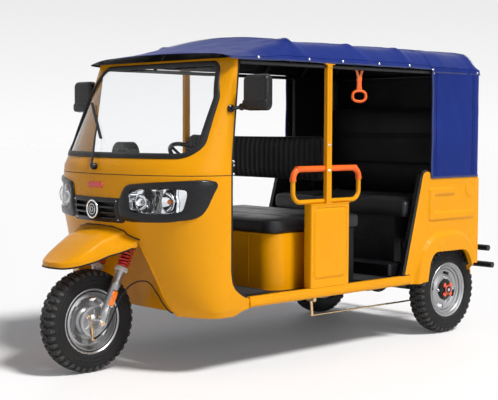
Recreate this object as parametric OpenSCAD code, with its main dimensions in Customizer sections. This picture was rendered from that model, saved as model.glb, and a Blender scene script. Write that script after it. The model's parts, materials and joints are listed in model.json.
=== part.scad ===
// Three-wheeled auto rickshaw: steel body, canvas roof, steered front wheel.
// X runs forward, Y to the vehicle's left and Z up, in millimetres.
// The modules draw from the front wheel's contact point, and in_frame()
// moves them so that the origin lies on the ground below the middle.

/* [Overall] */
// Front axle to rear axle
wheelbase = 2330; // [2000:10:2800]
// Front axle to the tip of the front mudguard
front_overhang = 290; // [285:1:340]
// Rear axle to the back of the rear bumper
rear_overhang = 453; // [430:1:560]
// Width over the side panels
body_w = 1230; // [1080:2:1480]
// Height of the roof's side edge
roof_edge_z = 1632; // [1560:1:1960]
// Height of the cowl at the foot of the windscreen
belt_z = 1125; // [1100:1:1180]
// Height of the floor
floor_z = 388; // [370:1:400]

/* [Wheels] */
// Outer radius of the tyres
tyre_r = 269; // [255:1:280]
// Width of the tyres
tyre_w = 114; // [90:1:140]
// Radius of the rim flanges
rim_r = 168; // [150:1:176]
// Body side to the middle plane of a rear wheel
rear_wheel_inset = 95; // [80:1:120]
// Radius of the axle spindles
spindle_r = 10; // [8:0.5:14]

/* [Steering] */
// Rake of the steering axis from the vertical
rake = 26.3; // [20:0.1:30]
// Distance from the steering axis back of the wheel centre, at axle height
steer_offset = 35; // [20:1:50]
// Radius of the fork legs
leg_r = 24; // [18:1:30]
// Clear gap from the tyre's side to the springs on the legs
leg_gap = 11; // [8:1:30]
// Radius of the springs
spring_r = 36; // [30:1:40]
// Radius of the steerer tube
steerer_r = 20; // [15:0.5:24]
// Radius of the steering wheel
wheel_r = 180; // [150:1:200]
// Tilt of the steering wheel from the horizontal
wheel_tilt = 38; // [30:1:45]

/* [Cab] */
// Thickness of the cab wall
cab_wall = 22; // [14:1:30]
// Back edge of the door pillars at the belt, from the front axle
cab_x = -450; // [-480:1:-430]
// Height of the bottom of the cab
cab_bottom_z = 305; // [290:1:320]
// Height of the seam round the nose
seam_z = 1033; // [1020:1:1045]
// Width of the windscreen rubber
gasket_w = 22; // [14:1:30]
// Thickness of the windscreen
glass_t = 6; // [4:0.5:8]

/* [Body] */
// Height of the sills' underside
sill_bottom_z = 345; // [330:1:360]
// Height of the sills' top
sill_top_z = 400; // [395:1:420]
// Thickness of the sills and side panels
panel_t = 27; // [18:1:30]
// Front face of the side boxes, from the front axle
side_box_x = -1042; // [-1080:1:-1020]
// Length of the side boxes
side_box_l = 311; // [260:1:340]
// Thickness of the side boxes
side_box_t = 50; // [40:1:60]
// Height of the side boxes' top
side_box_z = 858; // [820:1:900]
// Height of the quarter panels' top, behind the curtain's front edge
quarter_z = 972; // [950:1:1000]
// Width of the post tubes, across the vehicle
post_w = 40; // [25:1:44]
// Depth of the post tubes, along the vehicle
post_d = 25; // [20:1:40]

/* [Seats] */
// Front of the driver's seat cushion, from the front axle
seat_x = -850; // [-900:5:-820]
// Length of the driver's seat cushion
seat_l = 735; // [600:5:780]
// Height of the driver's seat base's top
seat_base_z = 700; // [650:1:740]
// Thickness of the driver's seat cushion
seat_cushion_t = 84; // [60:1:110]
// Thickness of the driver's backrest
backrest_t = 55; // [40:1:80]
// Front edge of the passenger bench, ahead of the rear axle
bench_front = 430; // [380:5:460]
// Height of the bench cushion's top
bench_z = 848; // [800:1:900]
// Thickness of the bench cushion
bench_cushion_t = 110; // [80:1:140]

/* [Roof] */
// Thickness of the canvas, with its lining
canvas_t = 8; // [5:0.5:12]
// Height of the roof's shoulder above its edge
shoulder_h = 120; // [100:1:140]
// Height of the roof's crown above its edge
crown_h = 150; // [140:1:180]
// Radius of the roof tubes
roof_tube_r = 11; // [8:0.5:14]

/* [Clearances] */
// Gap between pieces that fit together
fit_gap = 0.3; // [0.2:0.1:0.6]
// Radial clearance of a turning shaft
running_gap = 0.1; // [0.05:0.01:0.1]

/* [Hidden] */
$fn = 48;

yellow = [0.95, 0.6, 0.05];
black = [0.08, 0.08, 0.09];
blue = [0.13, 0.18, 0.5];
silver = [0.75, 0.76, 0.78];
orange = [0.95, 0.38, 0.12];
gold = [0.75, 0.6, 0.3];

half_w = body_w / 2;
rear_x = -wheelbase;
rear_end_x = rear_x - rear_overhang;
centre_shift = (front_overhang - rear_end_x) / 2 - front_overhang;
rear_wheel_y = half_w - rear_wheel_inset;
quarter_back_x = rear_x - 247;
rail_y = half_w - canvas_t - 2 - roof_tube_r - fit_gap;
rail_z = roof_edge_z - 2 * roof_tube_r;
leg_y = tyre_w / 2 + leg_gap + spring_r;

// ---- shared shapes ----

module in_frame() {
  translate([centre_shift, 0, 0]) children();
}

module both_sides() {
  children();
  mirror([0, 1, 0]) children();
}

module slab(x, y, z) {
  translate([x[0], y[0], z[0]]) cube([x[1] - x[0], y[1] - y[0], z[1] - z[0]]);
}

// A drawing in Y and Z, pulled along X
module along_x(x0, x1) {
  translate([x0, 0, 0]) rotate([90, 0, 90]) linear_extrude(x1 - x0) children();
}

// A drawing in X and Z, pulled along Y
module along_y(y0, y1) {
  translate([0, y1, 0]) rotate([90, 0, 0]) linear_extrude(y1 - y0) children();
}

// A round bar between two points
module bar(a, b, r) {
  run = b - a;
  translate(a)
    rotate([0, acos(run[2] / norm(run)), atan2(run[1], run[0])])
      cylinder(h = norm(run), r = r);
}

// A rectangle with round corners, from its low corner
module rounded(size, r) {
  translate([r, 0]) square([size[0] - 2 * r, size[1]]);
  translate([0, r]) square([size[0], size[1] - 2 * r]);
  for (x = [r, size[0] - r], y = [r, size[1] - r]) translate([x, y]) circle(r = r);
}

// Triangles round a stack of rings with equal numbers of points. From point turn on, each
// four-sided stretch is split along its other diagonal.
function side_faces(rings, count, turn) = [
  for (i = [0 : rings - 2], j = [0 : count - 1])
    let (
      a = i * count + j,
      b = a + count,
      d = i * count + (j + 1) % count,
      c = d + count
    )
    each j < turn ? [[a, b, c], [a, c, d]] : [[a, b, d], [b, c, d]]
];

// A closed body through a stack of convex rings
module loft(rings) {
  count = len(rings[0]);
  polyhedron(
    points = [for (ring = rings) for (p = ring) p],
    faces = concat(
      [[for (j = [0 : count - 1]) j]],
      [[for (j = [0 : count - 1]) len(rings) * count - 1 - j]],
      side_faces(len(rings), count, count)
    ),
    convexity = 6
  );
}

// A wall through a stack of rings that run out along its outer face and back along its inner
// face, whose triangles match those of a closed body of the same size
module wall_loft(rings) {
  count = len(rings[0]);
  strip = [for (j = [0 : count / 2 - 2]) [j, j + 1, count - 2 - j, count - 1 - j]];
  polyhedron(
    points = [for (ring = rings) for (p = ring) p],
    faces = concat(
      strip,
      [for (q = strip) [for (k = [3 : -1 : 0]) (len(rings) - 1) * count + q[k]]],
      side_faces(len(rings), count, count / 2)
    ),
    convexity = 6
  );
}

function unit(v) = v / norm(v);

// Direction of a route at one of its points
function route_run(route, i) = unit(
  route[min(i + 1, len(route) - 1)] - route[max(i - 1, 0)]
);

function pipe_ring(route, i, r, sides, across) =
  let (
    run = route_run(route, i),
    side = unit(cross(run, across)),
    up = cross(side, run)
  )
  [for (j = [0 : sides - 1])
    route[i] + r * (cos(360 * j / sides) * side - sin(360 * j / sides) * up)];

// A bent pipe along a route; across is a direction the route never runs in
module pipe(route, r, sides, across) {
  loft([for (i = [0 : len(route) - 1]) pipe_ring(route, i, r, sides, across)]);
}

// ---- cab skin: a rounded front whose depth changes with height ----

cab_steps = 26;
nose_depths = [
  [cab_bottom_z, 185], [340, 228], [420, 270], [550, 313], [680, 347], [760, 370],
  [830, 395], [860, 402], [980, 392], [belt_z - 55, 384], [belt_z - 25, 366],
  [belt_z, 352], [roof_edge_z, 30]
];
side_insets = [
  [cab_bottom_z, 25], [340, 10], [420, 0], [belt_z - 55, 0], [belt_z, 6], [roof_edge_z, 30]
];
pillar_xs = [
  [belt_z - 55, cab_x], [belt_z, cab_x - 8], [roof_edge_z, cab_x - 75]
];
corner_powers = [
  [cab_bottom_z, 2.6], [550, 2.3], [680, 2.2], [belt_z, 2.2], [roof_edge_z, 3]
];
// How far the foot of the cab's side runs back behind the pillar
foot_runs = [
  [cab_bottom_z, 45], [320, 80], [332, 102], [sill_bottom_z, 173], [372, 165],
  [sill_top_z, 120], [420, 75], [450, 36], [480, 16], [540, 6], [roof_edge_z, 6]
];
nose_levels = [
  cab_bottom_z, 320, 332, sill_bottom_z, 372, sill_top_z, 420, 450, 480, 540, 610,
  680, 760, 830, 860, 980, seam_z
];
screen_levels = [
  seam_z, belt_z - 55, belt_z - 25, belt_z, belt_z + 125, belt_z + 275,
  belt_z + 400, roof_edge_z
];

function cab_point(t, z, grow) = [
  lookup(z, pillar_xs)
    + (lookup(z, nose_depths) + grow) * pow(abs(cos(t)), 2 / lookup(z, corner_powers)),
  sign(t) * (half_w - lookup(z, side_insets) + grow)
    * pow(abs(sin(t)), 2 / lookup(z, corner_powers)),
  z
];

function cab_foot(side, z, grow) = [
  lookup(z, pillar_xs) - lookup(z, foot_runs),
  side * (half_w - lookup(z, side_insets) + grow),
  z
];

function cab_arc(z, grow) = concat(
  [cab_foot(-1, z, grow)],
  [for (i = [0 : cab_steps]) cab_point(-90 + 180 * i / cab_steps, z, grow)],
  [cab_foot(1, z, grow)]
);

function flipped(list) = [for (i = [len(list) - 1 : -1 : 0]) list[i]];

// The skin between two offsets from the cab's outer surface
module cab_skin(levels, outer, inner) {
  wall_loft([for (z = levels) concat(cab_arc(z, outer), flipped(cab_arc(z, inner)))]);
}

// The whole cab as one closed body
module cab_core(levels, grow) {
  loft([for (z = levels) cab_arc(z, grow)]);
}

module windscreen_outline(grow) {
  offset(delta = grow)
    hull() both_sides_flat() {
      translate([468, belt_z + 88]) circle(r = 90, $fn = 32);
      translate([468, belt_z + 290]) circle(r = 90, $fn = 32);
      translate([432, roof_edge_z - 102]) circle(r = 84, $fn = 32);
    }
}

module both_sides_flat() {
  children();
  mirror([1, 0]) children();
}

// Opening round the front wheel, seen from the front
arch_top_z = 755;
arch_side_z = 640;
arch_half = 290;
module arch_outline(grow) {
  offset(delta = grow) {
    translate([0, arch_side_z])
      scale([1, (arch_top_z - arch_side_z) / arch_half]) circle(r = arch_half, $fn = 64);
    polygon([
      [-arch_half, arch_side_z], [-318, 573], [-345, 490], [-368, 394], [-395, cab_bottom_z],
      [-400, 200], [400, 200], [395, cab_bottom_z], [368, 394], [345, 490], [318, 573],
      [arch_half, arch_side_z]
    ]);
  }
}

module bezel_outline(grow) {
  offset(delta = grow)
    polygon([
      [222, 965], [197, 905], [190, 830], [208, 803], [245, 794], [446, 798], [548, 814],
      [576, 832], [590, 870], [598, 920], [608, 985], [604, 1008], [590, 1014], [371, 998],
      [244, 985]
    ]);
}

module lens_outline(grow) {
  offset(delta = grow)
    polygon([
      [252, 935], [265, 852], [376, 839], [501, 847], [520, 862], [532, 930], [531, 958],
      [515, 966], [422, 968], [285, 960], [262, 952]
    ]);
}

grille_half = 186;
grille_bottom_z = 793;
grille_top_z = 907;

module grille_outline(grow) {
  translate([-grille_half - grow, grille_bottom_z - grow])
    square([2 * (grille_half + grow), grille_top_z - grille_bottom_z + 2 * grow]);
}

module nose_panel() color(yellow) in_frame() {
  difference() {
    cab_skin(nose_levels, 0, -cab_wall);
    along_x(cab_x, 200) arch_outline(0);
    along_x(cab_x + 60, 200) {
      both_sides_flat() bezel_outline(fit_gap);
      grille_outline(fit_gap);
    }
  }
}

module windscreen_surround() color(yellow) in_frame() {
  difference() {
    cab_skin(screen_levels, 0, -cab_wall);
    along_x(-700, 200) windscreen_outline(fit_gap);
  }
}

module windscreen_gasket() color(black) in_frame() {
  intersection() {
    cab_skin(screen_levels, 5, -cab_wall);
    along_x(-700, 200) difference() {
      windscreen_outline(0);
      windscreen_outline(-gasket_w);
    }
  }
}

module windscreen() color([0.8, 0.85, 0.88, 0.35]) in_frame() {
  glass_depth = 7;
  intersection() {
    cab_skin(screen_levels, -glass_depth, -glass_depth - glass_t);
    along_x(-700, 200) windscreen_outline(-gasket_w - fit_gap);
  }
}

lamp_levels = [780, 815, 860, 920, 980, 1020];
bezel_rise = 12;

module headlamp_bezels() color(black) in_frame() {
  intersection() {
    cab_skin(lamp_levels, bezel_rise, -cab_wall);
    along_x(cab_x + 60, 200) both_sides_flat() difference() {
      bezel_outline(0);
      lens_outline(fit_gap);
    }
  }
}

module headlamps() color([0.85, 0.88, 0.9]) in_frame() {
  intersection() {
    cab_skin(lamp_levels, bezel_rise - 5, -cab_wall - 20);
    along_x(cab_x + 60, 200) both_sides_flat() lens_outline(0);
  }
}

module grille() color(black) in_frame() {
  slats = 4;
  slat_h = 12;
  slat_rise = 10;
  pitch = (grille_top_z - grille_bottom_z - slat_h) / (slats - 1);
  along_outline = [for (i = [0 : slats - 1]) grille_bottom_z + i * pitch];
  intersection() {
    cab_skin(lamp_levels, 0, -cab_wall);
    along_x(cab_x + 60, 200) grille_outline(0);
  }
  intersection() {
    cab_skin(lamp_levels, slat_rise, -3);
    along_x(cab_x + 60, 200) {
      for (z = along_outline)
        translate([-grille_half, z]) square([2 * grille_half, slat_h]);
      translate([0, (grille_bottom_z + grille_top_z) / 2]) circle(r = 48);
    }
  }
}

// Liner that follows the opening back to a wall behind the wheel
tunnel_back_x = -345;
tunnel_t = 12;
module wheel_tunnel() color(yellow) in_frame() {
  difference() {
    intersection() {
      cab_core(nose_levels, -cab_wall - fit_gap);
      along_x(tunnel_back_x - tunnel_t, 0) arch_outline(tunnel_t);
      slab([-500, 0], [-500, 500], [cab_bottom_z + 5, 800]);
    }
    along_x(tunnel_back_x, 20) arch_outline(0);
    in_fork() cylinder(h = 900, r = head_tube_r + fit_gap);
  }
}

// ---- front mudguard ----

// Distance ahead of the axle, half width, edge height and top height
guard_stations = [
  [front_overhang, 45, 566, 596], [front_overhang - 14, 80, 566, 603],
  [front_overhang - 38, 108, 566, 615], [215, 134, 567, 636], [150, 165, 577, 672],
  [80, 199, 602, 708], [18, 226, 627, 738], [-46, 256, 643, 758], [-108, 284, 668, 767],
  [-150, 300, 684, 770]
];
guard_t = 5;
guard_lip = 24;
guard_steps = 20;

function guard_ring(s, shrink, drop) = concat(
  [[s[0] - shrink, -(s[1] - shrink), s[2] - drop]],
  [for (i = [0 : guard_steps])
    let (t = 180 - 180 * i / guard_steps)
    [s[0] - shrink, (s[1] - shrink) * sign(cos(t)) * pow(abs(cos(t)), 0.9),
      s[2] + guard_lip - shrink + (s[3] - s[2] - guard_lip) * pow(sin(t), 0.9)]],
  [[s[0] - shrink, s[1] - shrink, s[2] - drop]]
);

module front_mudguard() color(yellow) in_frame() {
  difference() {
    loft([for (s = guard_stations) guard_ring(s, 0, 0)]);
    loft([for (s = guard_stations) guard_ring(s, guard_t, 40)]);
    cab_core(nose_levels, fit_gap);
  }
}

// ---- frame and floor ----

head_tube_r = 32;
neck_front_x = -362;
neck_back_x = -430;
rail_beam_y = 260;
beam_top_z = floor_z - 12;
beam_h = 46;
beam_w = 40;

module in_fork() {
  translate([-steer_offset, 0, tyre_r]) rotate([0, -rake, 0]) children();
}

module chassis_frame() color(black) in_frame() {
  difference() {
    union() {
      in_fork() translate([0, 0, 482]) cylinder(h = 238, r = head_tube_r);
      slab([neck_back_x, neck_front_x], [-35, 35], [beam_top_z - beam_h, 905]);
      both_sides()
        slab([quarter_back_x + 40, neck_front_x - 10], [rail_beam_y - beam_w / 2,
          rail_beam_y + beam_w / 2], [beam_top_z - beam_h, beam_top_z]);
      both_sides()
        slab([tow_x, quarter_back_x + 40], [rail_beam_y - tow_t / 2, rail_beam_y + tow_t / 2],
          [beam_top_z - 70, beam_top_z]);
    }
    in_fork() translate([0, 0, 470]) cylinder(h = 260, r = steerer_r + running_gap);
    translate([tow_x + 28, -rail_beam_y - beam_w, beam_top_z - 35])
      rotate([-90, 0, 0]) cylinder(h = 2 * rail_beam_y + 2 * beam_w, r = tow_hole_r);
  }
}

tow_t = 12;
tow_hole_r = 12;
tow_x = quarter_back_x - 70;

module cross_members() color(black) in_frame() {
  beam_edge = beam_w / 2 + fit_gap;
  difference() {
    union() {
      for (x = [-425, -1000, -1600, rear_x + 380])
        slab([x - beam_w / 2, x + beam_w / 2], [-half_w + 60, half_w - 60],
          [beam_top_z - beam_h, beam_top_z]);
      slab([quarter_back_x + 20, quarter_back_x + 60], [-housing_y + 13, housing_y - 13],
        [beam_top_z - beam_h, beam_top_z]);
    }
    both_sides()
      slab([tow_x - 5, 0], [rail_beam_y - beam_edge, rail_beam_y + beam_edge],
        [beam_top_z - beam_h - 1, beam_top_z + 1]);
    slab([-460, -300], [-35 - fit_gap, 35 + fit_gap], [beam_top_z - beam_h - 1, beam_top_z + 1]);
  }
}

module floor_pan() color(black) in_frame() {
  slab([rear_x + bench_front - 60, neck_back_x - 1], [-half_w + panel_t + 3, half_w - panel_t - 3],
    [beam_top_z, floor_z]);
}

module sills() color(yellow) in_frame() {
  both_sides()
    difference() {
      slab([rear_x + bench_front, cab_x - 60], [half_w - panel_t - 3, half_w],
        [sill_bottom_z, sill_top_z]);
      cab_core(nose_levels, fit_gap);
    }
}

// ---- interior ----

module dashboard() color(black) in_frame() {
  shelf_z = belt_z - 14;
  fascia_x = -395;
  intersection() {
    cab_core(screen_levels, -cab_wall - fit_gap);
    union() {
      slab([fascia_x, 0], [-half_w, half_w], [shelf_z - 14, shelf_z]);
      slab([fascia_x - 14, fascia_x], [-half_w, half_w], [seam_z, shelf_z]);
    }
  }
  slab([fascia_x - 14, fascia_x], [-540, 540], [905, seam_z]);
}

module instrument_pod() color(black) in_frame() {
  pod_x = -300;
  pod_r = 62;
  shelf_z = belt_z - 14;
  translate([pod_x, 0, shelf_z]) {
    difference() {
      translate([0, 0, 24]) rotate([0, 90, 0]) cylinder(h = 90, r = pod_r);
      translate([-5, -100, -100]) cube([100, 200, 100]);
    }
  }
}

column_top = [-750, 0, 1080];
module in_column() {
  translate(column_top) rotate([0, -wheel_tilt, 0]) children();
}

column_r = 26;
shaft_r = 11;
column_l = 465;
module column_tube() color(black) in_frame() {
  difference() {
    union() {
      in_column() translate([0, 0, -column_l]) cylinder(h = column_l - 70, r = column_r);
      slab([-455, neck_back_x], [-30, 30], [650, 760]);
    }
    in_column() translate([0, 0, -column_l - 100])
      cylinder(h = column_l + 100, r = shaft_r + running_gap);
  }
}

module steering_wheel() color(black) in_frame() in_column() {
  rim_r2 = 12;
  rotate_extrude() translate([wheel_r - rim_r2, 0]) circle(r = rim_r2, $fn = 24);
  translate([0, 0, -50]) cylinder(h = 50, r = 32);
  translate([0, 0, -column_l + 10]) cylinder(h = column_l - 30, r = shaft_r);
  for (a = [90, 210, 330])
    rotate([0, 0, a]) bar([20, 0, -32], [wheel_r - rim_r2, 0, 0], 8);
}

module pedals() color(black) in_frame() {
  for (y = [-120, 90]) {
    bar([neck_back_x - 8, y, floor_z + 8], [neck_back_x - 60, y, floor_z + 150], 7);
    translate([neck_back_x - 62, y, floor_z + 150]) rotate([0, -20, 0])
      translate([-6, -38, -25]) cube([12, 76, 60]);
  }
  slab([neck_back_x - 30, neck_back_x - 1], [-150, 120], [floor_z, floor_z + 12]);
}

seat_back_x = seat_x - seat_l;
seat_half = half_w - 105;
module driver_seat_base() color(yellow) in_frame() {
  r = 100;
  wall = 12;
  x0 = seat_back_x + 45;
  depth = seat_x - 20 - x0;
  half = seat_half - 20;
  difference() {
    translate([x0, -half, floor_z]) linear_extrude(seat_base_z - floor_z)
      rounded([depth, 2 * half], r);
    translate([x0 + wall, -half + wall, floor_z - 1]) linear_extrude(seat_base_z - floor_z - wall + 1)
      rounded([depth - 2 * wall, 2 * half - 2 * wall], r - wall);
  }
}

module driver_seat_cushion() color(black) in_frame() {
  translate([seat_back_x, -seat_half, seat_base_z + fit_gap])
    linear_extrude(seat_cushion_t) rounded([seat_l, 2 * seat_half], 60);
}

post_x = -1185;
// Space from a post to the backrest's end, which a tab on the post fills
backrest_gap = 5;
module driver_backrest() color(black) in_frame() {
  half = half_w - post_w - backrest_gap;
  translate([post_x - backrest_t / 2, 0, 0])
    along_x(0, backrest_t) translate([-half, 973]) rounded([2 * half, 262], 20);
}

bench_base_x = rear_x + bench_front - 60;
housing_y = rear_wheel_y - tyre_w / 2 - 11;
module bench_base() color(black) in_frame() {
  wall = 12;
  top_z = bench_z - bench_cushion_t;
  difference() {
    slab([quarter_back_x + 60, bench_base_x], [-housing_y + 12.3, housing_y - 12.3], [floor_z, top_z]);
    slab([quarter_back_x, bench_base_x - wall], [-housing_y + 24, housing_y - 24], [floor_z - 1, top_z - wall]);
  }
}

module bench_cushion() color(black) in_frame() {
  half = half_w - panel_t - 20;
  translate([quarter_back_x + 40, -half, bench_z - bench_cushion_t + fit_gap])
    linear_extrude(bench_cushion_t) rounded([bench_front + 247 - 40, 2 * half], 30);
}

module bench_backrest() color(black) in_frame() {
  half = half_w - panel_t - 20;
  translate([quarter_back_x + 22 + fit_gap, 0, 0])
    along_x(0, 115) translate([-half, bench_z + 5]) rounded([2 * half, 560], 25);
}

module wheel_housings() color(black) in_frame() {
  roof_z = 2 * tyre_r + 52;
  both_sides() {
    slab([quarter_back_x + 23, rear_x + 295], [housing_y - 12, half_w - panel_t - fit_gap],
      [roof_z, roof_z + 12]);
    slab([quarter_back_x + 60, rear_x + 295], [housing_y - 12, housing_y], [beam_top_z, roof_z]);
  }
}

// ---- rear body ----

module quarter_outline() {
  polygon([
    [rear_x + 479, 406], [rear_x + 311, quarter_z + 34], [rear_x + 300, quarter_z + 40],
    [rear_x + 268, quarter_z + 37], [rear_x + 251, quarter_z + 8], [rear_x + 242, quarter_z],
    [quarter_back_x, quarter_z], [quarter_back_x, 421], [rear_x - 168, 433],
    [rear_x + 288, sill_bottom_z], [rear_x + bench_front, sill_bottom_z],
    [rear_x + bench_front, 406]
  ]);
}

module rear_arch(grow) {
  offset(delta = grow)
    polygon([
      [rear_x + 310, 200], [rear_x + 288, 360], [rear_x + 268, 466], [rear_x + 240, 508],
      [rear_x + 205, 529], [rear_x - 76, 527], [rear_x - 115, 506], [rear_x - 150, 450],
      [rear_x - 172, 380], [rear_x - 200, 200]
    ]);
}

flare_w = 25;
module quarter_panels() color(yellow) in_frame() {
  both_sides() {
    along_y(half_w - panel_t, half_w) difference() {
      quarter_outline();
      rear_arch(0);
    }
    along_y(half_w, half_w + flare_w) difference() {
      intersection() {
        rear_arch(62);
        translate([rear_x - 240, 380]) square([600, 400]);
      }
      rear_arch(0);
    }
  }
}

module quarter_trims() color(black) in_frame() {
  both_sides() along_y(half_w - panel_t, half_w + 6)
    polygon([
      [rear_x + 479 + fit_gap, 406], [rear_x + 311 + fit_gap, quarter_z + 34],
      [rear_x + 335, quarter_z + 30], [rear_x + 510, 406]
    ]);
}

door_half = 300;
door_low_z = 525;
door_high_z = 850;
hinge_z = door_high_z + 12;
hinge_r = 5;

module rear_panel() color(yellow) in_frame() {
  half = half_w - panel_t - fit_gap;
  difference() {
    union() {
      slab([quarter_back_x, quarter_back_x + 22], [-half, half], [421, quarter_z]);
      for (y = [-240, 200])
        translate([quarter_back_x - 8, y, hinge_z]) rotate([-90, 0, 0]) cylinder(h = 40, r = 10);
    }
    slab([quarter_back_x - 1, quarter_back_x + 30], [-door_half, door_half], [door_low_z, door_high_z]);
    for (y = [-240, 200])
      translate([quarter_back_x - 8, y - 1, hinge_z]) rotate([-90, 0, 0])
        cylinder(h = 42, r = hinge_r + running_gap);
    for (y = [-105, 105])
      translate([quarter_back_x - 1, y, quarter_z - 40]) rotate([0, 90, 0]) cylinder(h = 30, r = 3.5);
  }
}

module engine_door() color(yellow) in_frame() {
  gap = 6;
  slab([quarter_back_x, quarter_back_x + 18], [-door_half + gap, door_half - gap],
    [door_low_z + gap, door_high_z - gap]);
  for (y = [-240, 200]) {
    translate([quarter_back_x - 8, y - 30, hinge_z]) rotate([-90, 0, 0]) cylinder(h = 69.5, r = hinge_r);
    slab([quarter_back_x - 13, quarter_back_x - 3], [y - 30, y - 6], [door_high_z - 40, hinge_z]);
    slab([quarter_back_x - 13, quarter_back_x], [y - 30, y - 6], [door_high_z - 40, door_high_z - gap - 6]);
  }
}

module tail_lamps() color([0.7, 0.05, 0.05]) in_frame() {
  both_sides()
    along_x(quarter_back_x - 26, quarter_back_x)
      translate([half_w - 150, 640]) rounded([100, 190], 18);
}

module rear_bumper() color(black) in_frame() {
  tube_r = 19;
  low_x = rear_end_x + tube_r;
  high_x = rear_end_x + 66;
  both_sides() {
    bar([low_x, 0, 392], [low_x, half_w - 15, 392], tube_r);
    bar([high_x, 0, 506], [high_x, half_w - 15, 506], tube_r);
    slab([low_x, quarter_back_x + 38], [rail_beam_y - 40, rail_beam_y - 28], [380, 404]);
    slab([high_x, quarter_back_x], [rail_beam_y - 40, rail_beam_y - 28], [494, 518]);
    slab([low_x - 6, low_x + 6], [rail_beam_y - 40, rail_beam_y - 28], [392, 506]);
    slab([low_x, high_x], [rail_beam_y - 40, rail_beam_y - 28], [494, 518]);
  }
}

// ---- running gear at the rear ----

axle_tube_r = 30;
hub_half = 48;
module rear_axle_carrier() color(black) in_frame() {
  inner_y = rear_wheel_y - hub_half - 8;
  translate([rear_x, -inner_y, tyre_r]) rotate([-90, 0, 0]) cylinder(h = 2 * inner_y, r = axle_tube_r);
  translate([rear_x, 0, tyre_r]) sphere(r = 75);
  both_sides() {
    bar([rear_x, inner_y - 1, tyre_r], [rear_x, rear_wheel_y + 30, tyre_r], spindle_r * 1.5);
    bar([rear_x, rail_beam_y, tyre_r], [rear_x + 380, rail_beam_y, beam_top_z - beam_h - 18.7], 18);
  }
}

module engine() color(silver) in_frame() {
  slab([quarter_back_x + 110, rear_x - 20], [-190, 190], [beam_top_z + 1, 640]);
  for (y = [-rail_beam_y, 186])
    slab([quarter_back_x + 130, rear_x - 60], [y, y + rail_beam_y - 186],
      [beam_top_z, beam_top_z + 40]);
}

module brake_linkage() color(gold) in_frame() {
  crank_x = -1250;
  y = 420;
  bar([crank_x, y - 30, 300], [crank_x, y + 30, 300], 12);
  bar([crank_x, y, 300], [crank_x - 10, y, 205], 8);
  bar([crank_x - 10, y - 12, 205], [rear_x + 60, y - 12, 200], 5);
  slab([crank_x - 15, crank_x + 15], [y - 30, y - 18], [300, beam_top_z - beam_h]);
  slab([crank_x - 40, crank_x + 40], [rail_beam_y + 20, y - 18], [beam_top_z - beam_h, beam_top_z - beam_h + 12]);
}

// ---- wheels ----

tyre_profile = [
  [153, 44], [168.3, 44], [172, 51], [185, 56.5], [215, 57], [240, 55], [255, 51], [264, 44], [268, 25],
  [269, 0]
];
function tyre_point(p) = [
  rim_r - 168 + p[0] + (p[0] - 153) / (269 - 153) * (tyre_r - 269 - rim_r + 168),
  p[1] * tyre_w / 114
];

module tyre() {
  rotate_extrude($fn = 96)
    polygon(concat(
      [for (p = tyre_profile) tyre_point(p)],
      [for (i = [len(tyre_profile) - 2 : -1 : 0])
        [tyre_point(tyre_profile[i])[0], -tyre_point(tyre_profile[i])[1]]]
    ));
}

// Pressed rim: flanges, barrel, dished disc and hub, from a bore's radius
module rim(bore_r, hub_r) {
  seat_r = rim_r - 15;
  half = tyre_w * 44 / 114;
  rotate_extrude($fn = 96) {
    translate([seat_r - 4, -half]) square([4, 2 * half]);
    translate([seat_r - 4, half]) square([19, 4]);
    translate([seat_r - 4, -half - 4]) square([19, 4]);
    translate([hub_r - 1, -4]) square([seat_r - hub_r - 2, 6]);
    translate([bore_r, -hub_half]) square([hub_r - bore_r, 2 * hub_half]);
  }
}

module at_front_wheel() translate([0, 0, tyre_r]) rotate([-90, 0, 0]) children();
module at_rear_wheel(side)
  translate([rear_x, side * rear_wheel_y, tyre_r]) rotate([-90 * side, 0, 0]) children();

module front_tyre() color(black) in_frame() at_front_wheel() tyre();
module front_rim() color(silver) in_frame() at_front_wheel() rim(spindle_r + running_gap, 62);

module rear_rim(side) {
  color(silver) in_frame() at_rear_wheel(side) rim(spindle_r * 1.5 + running_gap, 50);
  color(orange) in_frame() at_rear_wheel(side) {
    translate([0, 0, hub_half]) cylinder(h = 8, r = 30);
    for (a = [45 : 90 : 315]) rotate([0, 0, a]) translate([0, -7, hub_half]) cube([48, 14, 6]);
  }
}

module rear_tyre_left() color(black) in_frame() at_rear_wheel(1) tyre();
module rear_tyre_right() color(black) in_frame() at_rear_wheel(-1) tyre();
module rear_rim_left() rear_rim(1);
module rear_rim_right() rear_rim(-1);

// ---- fork: drawn upright on the steering axis, Z along it ----

leg_x = 20;
crown_z = 440;
spring_z = 300;
axle_x = steer_offset * cos(rake);
axle_z = -steer_offset * sin(rake);

module fork() color(silver) in_frame() in_fork() {
  difference() {
    union() {
      both_sides() translate([leg_x, leg_y, 0]) {
        translate([0, 0, -42]) cylinder(h = 42 + spring_z - 24, r = leg_r);
        translate([0, 0, spring_z - 24]) cylinder(h = 24, r = spring_r - 1);
        translate([0, 0, spring_z]) cylinder(h = crown_z - spring_z + 6, r = 16);
      }
      slab([-steerer_r - 6, 50], [-leg_y - 20, leg_y + 20], [crown_z, crown_z + 22]);
      translate([0, 0, crown_z + 6]) cylinder(h = 314, r = steerer_r);
    }
    translate([axle_x, -leg_y - 60, axle_z]) rotate([-90, 0, 0]) cylinder(h = 2 * leg_y + 120, r = spindle_r + running_gap);
  }
  both_sides() translate([leg_x - 10, leg_y + leg_r - 4, 85]) cube([30, 8, 78]);
}

module fork_springs() color([0.75, 0.08, 0.08]) in_frame() in_fork() {
  both_sides() translate([leg_x, leg_y, spring_z + fit_gap]) difference() {
    cylinder(h = crown_z - spring_z - 2 * fit_gap, r = spring_r);
    translate([0, 0, -1]) cylinder(h = crown_z - spring_z + 2, r = spring_r - 10);
  }
}

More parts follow.
